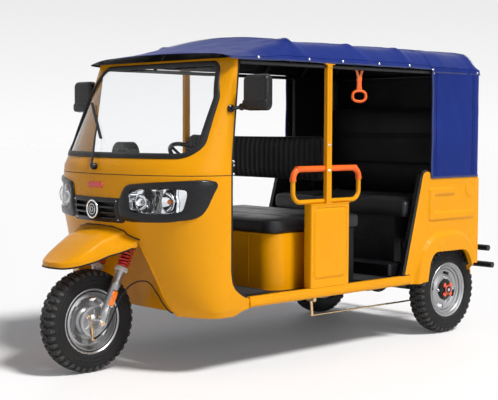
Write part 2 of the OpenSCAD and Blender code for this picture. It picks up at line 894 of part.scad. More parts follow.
module front_spindle() color(silver) in_frame() at_front_wheel() {
  translate([0, 0, -leg_y - 34]) cylinder(h = 2 * leg_y + 68, r = spindle_r);
  for (z = [-leg_y - 34, leg_y + leg_r]) translate([0, 0, z]) cylinder(h = 10, r = 15);
}

plate_r = 83;
module brake_plate() color(silver) in_frame() at_front_wheel() difference() {
  union() {
    translate([0, 0, hub_half + 6]) cylinder(h = 12, r = plate_r);
    translate([0, 0, hub_half + 6]) cylinder(h = leg_y - leg_r - hub_half - 6, r = 22);
    translate([24, -28, hub_half + 6]) cylinder(h = 24, r = 12);
    translate([24, -22, hub_half + 20]) rotate([0, 0, 95]) translate([0, -9, 0]) cube([120, 18, 8]);
  }
  cylinder(h = 200, r = spindle_r + running_gap);
}

// Cable from the brake arm over the tyre's back to the foot of the nose
cable_route = [
  [10, 80, 184], [-10, 98, 205], [-40, 132, 258], [-62, 150, 320], [-80, 168, 382], [-104, 196, 440],
  [-128, 226, 474], [-155, 260, 487], [-183, 292, 477], [-208, 324, 422], [-232, 352, 362],
  [-252, 374, 331], [-274, 382, 324], [-294, 387, 318]
];
module front_brake_cable() color(black) in_frame() {
  pipe(cable_route, 4, 8, [0.3, -0.7, 0.2]);
}

// ---- posts and roof ----

shoulder_y = half_w - 111;
curtain_front_x = rear_x + 240;
bow_xs = [-929, post_x - 240, -1850, rear_x + 124, rear_x - 190];

module roof_posts() color(yellow) in_frame() {
  both_sides() {
    slab([post_x - post_d / 2, post_x + post_d / 2], [half_w - post_w, half_w],
      [side_box_z, rail_z - roof_tube_r]);
    slab([post_x - 10, post_x + 10], [half_w - post_w - backrest_gap + fit_gap, half_w - post_w],
      [1130, 1190]);
    for (x = [curtain_front_x - 45, quarter_back_x + 45])
      bar([x, rail_y, quarter_z], [x, rail_y, rail_z - roof_tube_r], roof_tube_r);
  }
}

module roof_rails() color(black) in_frame() {
  both_sides()
    bar([quarter_back_x + 30, rail_y, rail_z], [cab_x - 80, rail_y, rail_z], roof_tube_r);
  translate([quarter_back_x + 30, -rail_y, rail_z]) rotate([-90, 0, 0])
    cylinder(h = 2 * rail_y, r = roof_tube_r);
}

module roof_bows() color(black) in_frame() {
  low = [rail_y - 4, rail_z + roof_tube_r + 0.5];
  high = [shoulder_y - 10, roof_edge_z + shoulder_h - canvas_t - roof_tube_r - 3];
  crown = roof_edge_z + crown_h - canvas_t - roof_tube_r - 3;
  bend = 22;
  half = [
    low, [high[0] + bend * 0.7, high[1] - bend], [high[0], high[1] - bend * 0.25],
    [high[0] - bend * 1.5, high[1] + 1]
  ];
  for (x = bow_xs)
    pipe(concat(
      [for (p = half) [x, p[0], p[1]]],
      [[x, 0, crown]],
      [for (p = flipped(half)) [x, -p[0], p[1]]]
    ), roof_tube_r, 14, [1, 0, 0]);
}

// Distance along X, edge inset, edge drop, shoulder height and crown height
canopy_stations = [
  [cab_x - 10, 20, 0, 26, 36], [cab_x - 78, 1, 4, 42, 58],
  [bow_xs[0], 0, 0, shoulder_h, crown_h], [rear_x - 190, 0, 0, shoulder_h, crown_h],
  [rear_x - 235, 1, 0, 92, 118], [quarter_back_x - 8, 14, 0, 30, 48]
];

function canopy_ring(s, shrink, drop) =
  let (
    y = half_w - s[1] - shrink,
    ys = shoulder_y - s[1] - shrink * 0.6,
    z = roof_edge_z - s[2]
  )
  [
    [s[0], -y, z - drop], [s[0], -y, z], [s[0], -ys, z + s[3] - shrink],
    [s[0], -ys / 2, z + (s[3] + 3 * s[4]) / 4 - shrink], [s[0], 0, z + s[4] - shrink],
    [s[0], ys / 2, z + (s[3] + 3 * s[4]) / 4 - shrink], [s[0], ys, z + s[3] - shrink],
    [s[0], y, z], [s[0], y, z - drop]
  ];

function shifted(ring, dx) = [for (p = ring) p + [dx, 0, 0]];

module canopy() color(blue) in_frame() {
  last = len(canopy_stations) - 1;
  difference() {
    loft([for (s = canopy_stations) canopy_ring(s, 0, 12)]);
    loft([for (i = [0 : last])
      shifted(canopy_ring(canopy_stations[i], canvas_t, 40),
        i == 0 ? -canvas_t : i == last ? canvas_t : 0)]);
  }
}

module rear_curtain() color(blue) in_frame() {
  back_x = quarter_back_x - 8;
  low = quarter_z + fit_gap;
  corner_r = 40;
  translate([0, 0, low]) linear_extrude(roof_edge_z - 12 - fit_gap - low) difference() {
    translate([back_x, -half_w]) rounded([curtain_front_x - back_x + 200, 2 * half_w], corner_r);
    translate([back_x + canvas_t, -half_w + canvas_t])
      rounded([curtain_front_x - back_x + 300, 2 * (half_w - canvas_t)], corner_r - canvas_t);
    translate([curtain_front_x, -half_w - 1]) square([400, 2 * half_w + 2]);
  }
}

module side_boxes() color(yellow) in_frame() {
  both_sides()
    slab([side_box_x - side_box_l, side_box_x], [half_w - side_box_t, half_w],
      [sill_top_z, side_box_z]);
}

// Handrail loop on the outside of the post
loop_front_x = -925;
loop_back_x = -1455;
loop_low_z = side_box_z + 15;
loop_high_z = 1052;
loop_bend = 55;
hand_tube_r = 13;
rail_loop_y = half_w - 26;

// A quarter bend of the loop, its section given as a drawing round the tube's axis
module loop_corner(x, z, a) {
  translate([x, rail_loop_y, z]) rotate([90, 0, 0]) rotate([0, 0, a])
    rotate_extrude(angle = 90) translate([loop_bend, 0]) children();
}

// A straight stretch along X, its section given as a drawing
module loop_straight(z) {
  translate([loop_back_x + loop_bend, rail_loop_y, z]) rotate([0, 90, 0])
    linear_extrude(loop_front_x - loop_back_x - 2 * loop_bend) children();
}

module post_gap() {
  slab([post_x - post_d / 2 - fit_gap, post_x + post_d / 2 + fit_gap],
    [half_w - post_w - 20, half_w + 20], [side_box_z, roof_edge_z]);
}

module handrails() color(yellow) in_frame() {
  both_sides() difference() {
    union() {
      for (x = [loop_front_x, loop_back_x])
        bar([x, rail_loop_y, loop_low_z + loop_bend], [x, rail_loop_y, loop_high_z - loop_bend],
          hand_tube_r);
      for (z = [loop_low_z, loop_high_z]) loop_straight(z) circle(r = hand_tube_r);
      loop_corner(loop_front_x - loop_bend, loop_high_z - loop_bend, 0) circle(r = hand_tube_r);
      loop_corner(loop_back_x + loop_bend, loop_high_z - loop_bend, 90) circle(r = hand_tube_r);
      loop_corner(loop_back_x + loop_bend, loop_low_z + loop_bend, 180) circle(r = hand_tube_r);
      loop_corner(loop_front_x - loop_bend, loop_low_z + loop_bend, 270) circle(r = hand_tube_r);
    }
    post_gap();
  }
}

module grip_section() {
  difference() {
    circle(r = hand_tube_r + 4);
    circle(r = hand_tube_r);
  }
}

module handrail_grips() color(orange) in_frame() {
  both_sides() {
    difference() {
      loop_straight(loop_high_z) grip_section();
      post_gap();
    }
    loop_corner(loop_front_x - loop_bend, loop_high_z - loop_bend, 0) grip_section();
    loop_corner(loop_back_x + loop_bend, loop_high_z - loop_bend, 90) grip_section();
  }
}

strap_x = -1470;
module grab_straps() color(orange) in_frame() {
  strap_t = 12;
  sleeve_w = 28;
  spread = 35;
  sleeve_low_z = 1485;
  fork_z = 1560;
  ring_r = 32;
  ring_bar_r = 8;
  y0 = rail_y - roof_tube_r - fit_gap - strap_t;
  both_sides() {
    translate([strap_x, y0 + strap_t / 2, sleeve_low_z - ring_r + 2]) rotate([90, 0, 0])
      rotate_extrude() translate([ring_r, 0]) circle(r = ring_bar_r, $fn = 24);
    along_y(y0, y0 + strap_t) translate([strap_x, 0]) polygon([
      [-sleeve_w / 2, sleeve_low_z], [sleeve_w / 2, sleeve_low_z], [sleeve_w / 2, fork_z],
      [spread + 8, rail_z + 2], [spread - 12, rail_z + 2], [0, fork_z + 14],
      [-spread + 12, rail_z + 2], [-spread - 8, rail_z + 2], [-sleeve_w / 2, fork_z]
    ]);
  }
}

// ---- mirrors, wiper ----

mirror_x = -514;
mirror_y = half_w + 123;
mirror_w = 176;
mirror_h = 183;
mirror_z = 1360;
module mirrors() color(black) in_frame() {
  both_sides() {
    difference() {
      along_x(mirror_x - 26, mirror_x + 26)
        translate([mirror_y - mirror_w / 2, mirror_z]) rounded([mirror_w, mirror_h], 24);
      along_x(mirror_x - 27, mirror_x - 20)
        translate([mirror_y - mirror_w / 2 + 8, mirror_z + 8])
          rounded([mirror_w - 16, mirror_h - 16], 18);
    }
    difference() {
      union() {
        slab([-490, -440], [half_w - 40, half_w - 6], [1345, 1400]);
        pipe([
          [-465, half_w - 12, 1372], [mirror_x, mirror_y - mirror_w / 2 - 30, 1375],
          [mirror_x, mirror_y - mirror_w / 2 + 5, 1400]
        ], 10, 14, [0, 0, 1]);
      }
      cab_core(screen_levels, fit_gap);
    }
  }
}

module mirror_glasses() color([0.6, 0.65, 0.7]) in_frame() {
  both_sides()
    along_x(mirror_x - 25, mirror_x - 20 - fit_gap)
      translate([mirror_y - mirror_w / 2 + 9, mirror_z + 9]) rounded([mirror_w - 18, mirror_h - 18], 17);
}

module wiper() color(black) in_frame() {
  pivot = [-52, -10, 1072];
  knee = [-152, -135, 1215];
  tip = [-238, -230, 1300];
  difference() {
    union() {
      bar([-82, 20, 1062], pivot, 12);
      bar(pivot, knee, 7);
      bar(knee, tip, 5);
      bar([-164, -98, 1216], [-345, -428, 1410], 5);
    }
    cab_core(screen_levels, fit_gap);
    intersection() {
      cab_core(screen_levels, 5 + fit_gap);
      slab([-700, 0], [-half_w, half_w], [belt_z, roof_edge_z]);
    }
  }
}

chassis_frame();
cross_members();
floor_pan();
sills();
nose_panel();
windscreen_surround();
wheel_tunnel();
windscreen();
windscreen_gasket();
grille();
headlamp_bezels();
headlamps();
front_mudguard();
dashboard();
instrument_pod();
column_tube();
pedals();
driver_seat_base();
driver_seat_cushion();
driver_backrest();
bench_base();
bench_cushion();
bench_backrest();
wheel_housings();
quarter_panels();
quarter_trims();
rear_panel();
roof_posts();
roof_rails();
roof_bows();
side_boxes();
handrails();
handrail_grips();
canopy();
rear_curtain();
grab_straps();
mirrors();
mirror_glasses();
wiper();
tail_lamps();
rear_bumper();
engine();
rear_axle_carrier();
brake_linkage();
front_brake_cable();
fork();
fork_springs();
front_spindle();
brake_plate();
front_tyre();
front_rim();
steering_wheel();
rear_tyre_left();
rear_rim_left();
rear_tyre_right();
rear_rim_right();
engine_door();
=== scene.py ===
"""Looks of the auto rickshaw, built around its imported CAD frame.

Shapes are drawn in millimetres in the front axle's frame: X forward from the front axle, Y to the left and
Z up from the ground. at() turns such a point into the shared frame's metres.
"""

import json
import math

import bmesh
import bpy
import numpy as np
from mathutils import Matrix, Vector, noise
from mathutils.bvhtree import BVHTree


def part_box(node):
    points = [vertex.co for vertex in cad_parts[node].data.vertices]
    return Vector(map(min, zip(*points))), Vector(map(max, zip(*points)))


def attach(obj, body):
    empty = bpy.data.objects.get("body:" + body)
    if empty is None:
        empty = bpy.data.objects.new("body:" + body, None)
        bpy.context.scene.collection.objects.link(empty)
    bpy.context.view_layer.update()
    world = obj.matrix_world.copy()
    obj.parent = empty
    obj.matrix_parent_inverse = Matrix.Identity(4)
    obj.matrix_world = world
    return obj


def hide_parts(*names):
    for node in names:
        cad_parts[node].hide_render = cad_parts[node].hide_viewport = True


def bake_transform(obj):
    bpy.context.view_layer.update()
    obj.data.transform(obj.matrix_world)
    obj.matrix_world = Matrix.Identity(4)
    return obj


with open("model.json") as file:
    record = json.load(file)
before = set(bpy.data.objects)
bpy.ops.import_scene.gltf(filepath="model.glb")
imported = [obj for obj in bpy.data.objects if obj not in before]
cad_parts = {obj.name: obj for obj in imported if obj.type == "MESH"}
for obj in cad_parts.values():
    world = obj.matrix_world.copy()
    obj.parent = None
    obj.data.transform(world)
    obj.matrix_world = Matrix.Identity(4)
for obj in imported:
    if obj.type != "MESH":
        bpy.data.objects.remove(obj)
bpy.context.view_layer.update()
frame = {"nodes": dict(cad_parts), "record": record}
SLOT_OF = {row["node"]: row["material_slot"] for row in frame["record"]["subparts"]}


# ---- places that follow from the frame ----

AXLE_X = sum(c.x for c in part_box("front_tyre")) / 2


def box_mm(node):
    """A CAD node's lowest and highest corners in the front axle's frame, in millimetres."""
    return [(corner - Vector((AXLE_X, 0, 0))) * 1000 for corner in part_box(node)]


TYRE_R = sum(c.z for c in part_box("front_tyre")) * 500
REAR_X = -(AXLE_X - sum(c.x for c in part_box("rear_tyre_left")) / 2) * 1000
HALF_W = box_mm("side_boxes")[1].y
ROOF_EDGE_Z = 1632
BELT_Z = 1125
SEAM_Z = 1033
CAB_X = -450
CAB_BOTTOM_Z = 305
CAB_WALL = 22
FLOOR_Z = box_mm("floor_pan")[1].z
QUARTER_BACK_X = REAR_X - 247
REAR_WHEEL_Y = sum(c.y for c in box_mm("rear_tyre_left")) / 2
RAKE = math.radians(26.3)
STEER_OFFSET = 35


def at(p):
    """A point of the drawings, in millimetres, placed in the shared frame."""
    return Vector((p[0] * 0.001 + AXLE_X, p[1] * 0.001, p[2] * 0.001))


def to_mm(co):
    """A point of the shared frame, in metres, as at() takes it."""
    return (co.x - AXLE_X) * 1000, co.y * 1000, co.z * 1000


def mix(a, b, t):
    """The value a share t of the way from a to b."""
    return a + (b - a) * t


def table(z, rows):
    """The second value at a place between rows whose first value rises."""
    return float(np.interp(z, [r[0] for r in rows], [r[1] for r in rows]))


def row_at(x, rows):
    """Each column's value at a place between rows whose first value falls."""
    places = [row[0] for row in rows[::-1]]
    return [float(np.interp(x, places, column[::-1])) for column in list(zip(*rows))[1:]]


def step_up(x, a, b):
    """0 up to a, 1 from b on, and smooth between them."""
    t = max(0.0, min(1.0, (x - a) / (b - a)))
    return t * t * (3 - 2 * t)


# ---- mesh making ----


class Shape:
    """Vertices in millimetres and faces, gathered before they become a piece."""

    def __init__(self):
        self.verts = []
        self.faces = []

    def add(self, verts, faces):
        start = len(self.verts)
        self.verts += [tuple(v) for v in verts]
        self.faces += [tuple(start + i for i in f) for f in faces]
        return self

    def join(self, other, place=None):
        verts = other.verts if place is None else [place(v) for v in other.verts]
        return self.add(verts, other.faces)

    def mirrored(self):
        """Adds the same shape on the other side of the vehicle."""
        return self.add([(x, -y, z) for x, y, z in self.verts], [f[::-1] for f in self.faces])

    def grid(self, rows, around=False, closed=False, caps=False, flip=False):
        """Skins rows of points. around joins each row's ends, closed joins the last row to the first."""
        count = len(rows[0])
        faces = []
        for i in range(len(rows) - (0 if closed else 1)):
            k = (i + 1) % len(rows)
            for j in range(count - (0 if around else 1)):
                n = (j + 1) % count
                faces.append((i * count + j, i * count + n, k * count + n, k * count + j))
        if caps:
            faces.append(tuple(range(count))[::-1])
            faces.append(tuple((len(rows) - 1) * count + j for j in range(count)))
        if flip:
            faces = [f[::-1] for f in faces]
        return self.add([p for row in rows for p in row], faces)

    def tube(self, path, radius, sides=12, closed=False, caps=True):
        """A round tube along a path; radius is one number or one for each point."""
        circle = [(math.cos(a), math.sin(a)) for a in turns(sides)]
        return self.sweep(path, circle, radius, closed, caps)

    def sweep(self, path, section, scale=1.0, closed=False, caps=True, side=None):
        """A section of (across, up) points along a path, carried without twist."""
        points = [Vector(p) for p in path]
        last = len(points) - 1
        rows = []
        normal = None
        for i, p in enumerate(points):
            before = points[i - 1] if i or closed else p
            after = points[(i + 1) % len(points)] if i < last or closed else p
            run = (after - before).normalized()
            if side is not None:
                normal = Vector(side)
            elif normal is None:
                normal = Vector((0, 0, 1)) if abs(run.z) < 0.9 else Vector((1, 0, 0))
            normal = (normal - run * normal.dot(run)).normalized()
            across = run.cross(normal)
            r = scale[i] if hasattr(scale, "__len__") else scale
            rows.append([p + (across * a + normal * b) * r for a, b in section])
        return self.grid(rows, around=True, closed=closed, caps=caps and not closed)

    def spin(self, profile, sides=48, place=None, closed=True):
        """Turns a profile of (radius, along) points round an axis; place maps (x, y, along) points."""
        rows = []
        for a in turns(sides):
            rows.append([(r * math.cos(a), r * math.sin(a), h) for r, h in profile])
        shape = Shape().grid(rows, around=closed, closed=True)
        return self.join(shape, place)

    def slab(self, x, y, z):
        """A box between two values on each axis."""
        corners = [(a, b, c) for a in x for b in y for c in z]
        faces = [(0, 1, 3, 2), (4, 6, 7, 5), (0, 4, 5, 1), (2, 3, 7, 6), (0, 2, 6, 4), (1, 5, 7, 3)]
        return self.add(corners, faces)

    def between(self, outer, inner):
        """A wall between two grids of the same size, closed all round."""
        self.grid(outer)
        self.grid(inner, flip=True)
        self.grid([outer[0], inner[0]], flip=True)
        self.grid([outer[-1], inner[-1]])
        for k in (0, -1):
            self.grid([[row[k] for row in outer], [row[k] for row in inner]])
        return self

    def turned(self, centre, along, profile, sides):
        """Rings of (radius, height) about a line that leaves the centre along a direction."""
        base, run = Vector(centre), Vector(along).normalized()
        side = Vector((0, 0, 1)) if abs(run.z) < 0.9 else Vector((1, 0, 0))
        side = (side - run * side.dot(run)).normalized()
        other = run.cross(side)
        rows = [[base + run * h + (side * math.cos(a) + other * math.sin(a)) * r for a in turns(sides)]
                for r, h in profile]
        return self.grid(rows, around=True, caps=True)

    def bolt(self, centre, along, r=6, height=5):
        """A hexagon bolt head with its washer."""
        for sides, radius, low, high in ((20, r * 1.35, 0, height * 0.25), (6, r, height * 0.25, height)):
            self.turned(centre, along, [(radius, low), (radius, high - 0.6), (radius * 0.88, high)], sides)

    def stud(self, centre, along, r=7):
        """A domed chrome press stud."""
        dome = [(1, -2), (1, 1), (0.92, 2.2), (0.7, 3.4), (0.35, 4.2), (0.1 / r, 4.5)]
        self.turned(centre, along, [(r * share, h) for share, h in dome], 16)

    def plate(self, outline, place, low, high, edge=3.0, steps=3):
        """A flat outline made solid from one depth to another, with rounded edges on the high side."""
        rows = [[place(u, v, low) for u, v in outline]]
        for k in range(steps + 1):
            a = math.pi / 2 * k / steps
            ring = inset(outline, edge * (1 - math.cos(a)))
            depth = high - edge * (1 - math.sin(a)) * (1 if high > low else -1)
            rows.append([place(u, v, depth) for u, v in ring])
        return self.grid(rows, around=True, caps=True)


def turns(count, start=0.0, stop=2 * math.pi):
    """Evenly spaced angles from start, without the last one."""
    return [start + (stop - start) * i / count for i in range(count)]


def arc(cx, cy, r, start, stop, steps):
    """Points on an arc between two angles in degrees."""
    out = []
    for i in range(steps + 1):
        a = math.radians(mix(start, stop, i / steps))
        out.append((cx + r * math.cos(a), cy + r * math.sin(a)))
    return out


def rounded_rect(x0, y0, x1, y1, r, steps=6):
    """Outline of a rectangle with round corners, anticlockwise."""
    corners = [(x1 - r, y1 - r), (x0 + r, y1 - r), (x0 + r, y0 + r), (x1 - r, y0 + r)]
    return [p for k, (x, y) in enumerate(corners) for p in arc(x, y, r, 90 * k, 90 * k + 90, steps)]


def normals_2d(outline):
    """Outward direction at each point of an anticlockwise outline."""
    count = len(outline)
    out = []
    for i in range(count):
        a, b = outline[i - 1], outline[(i + 1) % count]
        d = Vector((b[1] - a[1], a[0] - b[0]))
        out.append(d.normalized() if d.length > 1e-9 else Vector((0, 0)))
    return out


def inset(outline, depth):
    """The outline moved in by a small depth."""
    if not depth:
        return list(outline)
    return [(p[0] - n.x * depth, p[1] - n.y * depth) for p, n in zip(outline, normals_2d(outline))]


def rounded_outline(points, radius, steps=6):
    """Rounds the corners of a polygon; radius is one number or one for each corner."""
    out = []
    count = len(points)
    for i, p in enumerate(points):
        r = radius[i] if hasattr(radius, "__len__") else radius
        here = Vector(p)
        a = Vector(points[i - 1]) - here
        b = Vector(points[(i + 1) % count]) - here
        cut = min(r, a.length * 0.48, b.length * 0.48)
        start, end = here + a.normalized() * cut, here + b.normalized() * cut
        for k in range(steps + 1):
            t = k / steps
            out.append(tuple(start * (1 - t) ** 2 + here * 2 * t * (1 - t) + end * t * t))
    return out


def smooth_path(points, steps=8, closed=False):
    """Points on a curve that passes through the given ones."""
    pts = [Vector(p) for p in points]
    count = len(pts)
    out = []
    for i in range(count if closed else count - 1):
        p1, p2 = pts[i], pts[(i + 1) % count]
        p0 = pts[i - 1] if i or closed else p1
        p3 = pts[(i + 2) % count] if i + 2 < count or closed else p2
        for k in range(steps):
            t = k / steps
            out.append(0.5 * (2 * p1 + (p2 - p0) * t + (2 * p0 - 5 * p1 + 4 * p2 - p3) * t * t
                              + (3 * p1 - p0 - 3 * p2 + p3) * t ** 3))
    if not closed:
        out.append(pts[-1])
    return out


def even_outline(outline, count):
    """The closed outline again, with points at even distances."""
    pts = np.array([*outline, outline[0]], float)
    run = np.concatenate([[0], np.cumsum(np.hypot(*np.diff(pts, axis=0).T))])
    wanted = np.linspace(0, run[-1], count, endpoint=False)
    return list(zip(np.interp(wanted, run, pts[:, 0]), np.interp(wanted, run, pts[:, 1])))


def add_object(name, data):
    obj = bpy.data.objects.new(name, data)
    bpy.context.scene.collection.objects.link(obj)
    return obj


def mesh_of(name, shape, merge=True):
    """A Shape's mesh, with its faces turned outwards."""
    mesh = bpy.data.meshes.new(name)
    mesh.from_pydata([at(v) for v in shape.verts], [], shape.faces)
    if merge:
        mesh.validate()
    bm = bmesh.new()
    bm.from_mesh(mesh)
    if merge:
        bmesh.ops.remove_doubles(bm, verts=bm.verts, dist=1e-6)
    bmesh.ops.recalc_face_normals(bm, faces=bm.faces)
    bm.to_mesh(mesh)
    bm.free()
    return mesh


def piece(name, shape, material, body="body", replaces=(), crease=35, both=False):
    """Makes a Shape a Blender piece that rides on a body; crease is the angle where shading breaks.

    both adds the same shape on the other side of the vehicle.
    """
    if both:
        shape.mirrored()
    obj = add_object(name, mesh_of(name, shape))
    obj.data.materials.append(MATERIALS[material])
    shade(obj, crease)
    if body:
        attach(obj, body)
    if replaces:
        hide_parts(*replaces)
    return obj


def bake(obj):
    """Applies an object's modifiers."""
    graph = bpy.context.evaluated_depsgraph_get()
    mesh = bpy.data.meshes.new_from_object(obj.evaluated_get(graph))
    obj.modifiers.clear()
    obj.data = mesh


def modify(obj, kind, **values):
    """Adds a modifier and applies it."""
    modifier = obj.modifiers.new(kind.lower(), kind)
    for key, value in values.items():
        setattr(modifier, key, value)
    bake(obj)


def line_cloth(obj, crease=60):
    """Gives a cloth its thickness, with a dark side inwards."""
    obj.data.materials.append(MATERIALS["dark_vinyl"])
    modify(obj, "SOLIDIFY", thickness=0.0025, offset=-1, material_offset=1)
    shade(obj, crease)


def shade(obj, crease):
    """Smooth shading that breaks at edges sharper than the crease angle in degrees."""
    mesh = obj.data
    mesh.polygons.foreach_set("use_smooth", [True] * len(mesh.polygons))
    mesh.set_sharp_from_angle(angle=math.radians(crease))


def cut(obj, shape, operation="DIFFERENCE", crease=35):
    """Cuts a Shape out of a piece, or keeps only what lies in it."""
    tool = add_object("cutter", mesh_of("cutter", shape, merge=False))
    modify(obj, "BOOLEAN", operation=operation, solver="EXACT", object=tool)
    bpy.data.objects.remove(tool)
    shade(obj, crease)


def along_x(outline, x0, x1):
    """A prism along X from an outline in Y and Z."""
    return Shape().grid([[(x, u, v) for u, v in outline] for x in (x0, x1)], around=True, caps=True)


def along_y(outline, y0, y1):
    """A prism along Y from an outline in X and Z."""
    return Shape().grid([[(u, y, v) for u, v in outline] for y in (y0, y1)], around=True, caps=True)


def soft_noise(x, y, z=0.0, scale=1.0):
    return noise.noise(Vector((x * scale, y * scale, z * scale)))


def lay_flat(u, v, d):
    """Places a plate's outline in X and Y."""
    return u, v, d


def lay_upright(u, v, d):
    """Places a plate's outline in Y and Z."""
    return d, u, v


# ---- materials ----

MATERIALS = {}


def set_ramp(ramp, *stops):
    """Gives a colour ramp's two ends their places and colours."""
    for end, (place, color) in zip(ramp.color_ramp.elements, stops):
        end.position = place
        end.color = color


def add_node(tree, kind, inputs=(), **values):
    """Adds a shader node. An input is given a value, or another node's output."""
    made = tree.nodes.new(kind)
    for key, value in values.items():
        setattr(made, key, value)
    for socket, source in inputs:
        if hasattr(source, "links"):
            tree.links.new(source, made.inputs[socket])
        else:
            made.inputs[socket].default_value = source
    return made


class Finish:
    """A procedural material under construction."""

    def __init__(self, name, color, roughness, metallic=0.0):
        self.mat = bpy.data.materials.new(name)
        self.mat.use_nodes = True
        self.links = self.mat.node_tree.links
        self.bsdf = self.mat.node_tree.nodes["Principled BSDF"]
        self.color = color
        self.set("Base Color", (*color, 1))
        self.set("Roughness", roughness)
        self.set("Metallic", metallic)
        self.roughness = roughness
        self.place = self.node("ShaderNodeTexCoord").outputs["Object"]
        self.height = None
        MATERIALS[name] = self.mat

    def set(self, socket, value):
        self.bsdf.inputs[socket].default_value = value
        return self

    def node(self, kind, inputs=(), **values):
        return add_node(self.mat.node_tree, kind, inputs, **values)

    def coat(self, weight, roughness):
        return self.set("Coat Weight", weight).set("Coat Roughness", roughness)

    def sheen(self, weight, roughness):
        return self.set("Sheen Weight", weight).set("Sheen Roughness", roughness)

    def specular(self, level):
        return self.set("Specular IOR Level", level)

    def noise(self, scale, detail=3.0, rough=0.5, stretch=None):
        place = self.place
        if stretch:
            place = self.node("ShaderNodeMapping", [("Vector", self.place), ("Scale", stretch)]).outputs[0]
        made = self.node("ShaderNodeTexNoise", [("Vector", place), ("Scale", scale), ("Detail", detail),
                                                ("Roughness", rough)])
        return made.outputs["Fac"]

    def ranged(self, source, low, high, start=0.3, stop=0.7):
        """Maps a 0 to 1 value onto a range."""
        made = self.node("ShaderNodeMapRange", [("Value", source), ("From Min", start), ("From Max", stop),
                                                ("To Min", low), ("To Max", high)])
        return made.outputs["Result"]

    def maths(self, operation, a, b):
        return self.node("ShaderNodeMath", [(0, a), (1, b)], operation=operation).outputs[0]

    def blotches(self, amount, scale=3.0, tint=None):
        """Uneven colour: the base colour drifts towards a darker or tinted one."""
        dark = tint or tuple(c * (1 - amount) for c in self.color)
        light = tuple(min(1, c * (1 + amount * 0.6)) for c in self.color)
        ramp = self.node("ShaderNodeValToRGB", [("Fac", self.noise(scale, 5.0, 0.6))])
        set_ramp(ramp, (0.32, (*dark, 1)), (0.68, (*light, 1)))
        self.links.new(ramp.outputs["Color"], self.bsdf.inputs["Base Color"])
        self.tone = ramp.outputs["Color"]
        return self

    def worn(self, color, amount=0.5):
        """Edges rub through to another colour."""
        edges = self.ranged(self.node("ShaderNodeNewGeometry").outputs["Pointiness"], 0.0, amount, 0.53, 0.62)
        fac = self.maths("MULTIPLY", edges, self.ranged(self.noise(60.0, 4.0), 0.2, 1.0))
        mixer = self.node("ShaderNodeMix", [(0, fac), (6, self.tone), (7, (*color, 1))], data_type="RGBA")
        self.links.new(mixer.outputs[2], self.bsdf.inputs["Base Color"])
        self.tone = mixer.outputs[2]
        return self

    def uneven_gloss(self, amount, scale=6.0):
        source = self.noise(scale, 4.0, 0.6)
        low, high = max(0.02, self.roughness - amount), min(1, self.roughness + amount)
        self.links.new(self.ranged(source, low, high), self.bsdf.inputs["Roughness"])
        return self

    def bump(self, source, depth, strength=1.0):
        """Adds a height in metres to the surface's bump."""
        made = self.node("ShaderNodeBump", [("Height", source), ("Distance", depth), ("Strength", strength)])
        if self.height is not None:
            self.links.new(self.height, made.inputs["Normal"])
        self.height = made.outputs["Normal"]
        self.links.new(self.height, self.bsdf.inputs["Normal"])
        return self

    def pitted(self, scale, depth, detail=2.0, strength=1.0, rough=0.5, stretch=None):
        """A noisy surface; depth is in metres."""
        return self.bump(self.noise(scale, detail, rough, stretch), depth, strength)

    def grain(self, cell, depth):
        """Leather grain: cells of a size in metres, with creases between them."""
        cells = self.node("ShaderNodeTexVoronoi", [("Vector", self.place), ("Scale", 1 / cell)],
                          feature="DISTANCE_TO_EDGE").outputs["Distance"]
        return self.bump(self.ranged(cells, 0, 1, 0.0, 0.25), depth)

    def weave(self, pitch, depth):
        """Threads that cross at a pitch in metres, on all three planes."""
        height = None
        for axis in ("X", "Y", "Z"):
            wave = self.node("ShaderNodeTexWave", [("Vector", self.place), ("Scale", 0.05 / pitch)],
                             bands_direction=axis).outputs["Fac"]
            height = wave if height is None else self.maths("ADD", height, wave)
        return self.bump(height, depth, 0.6)


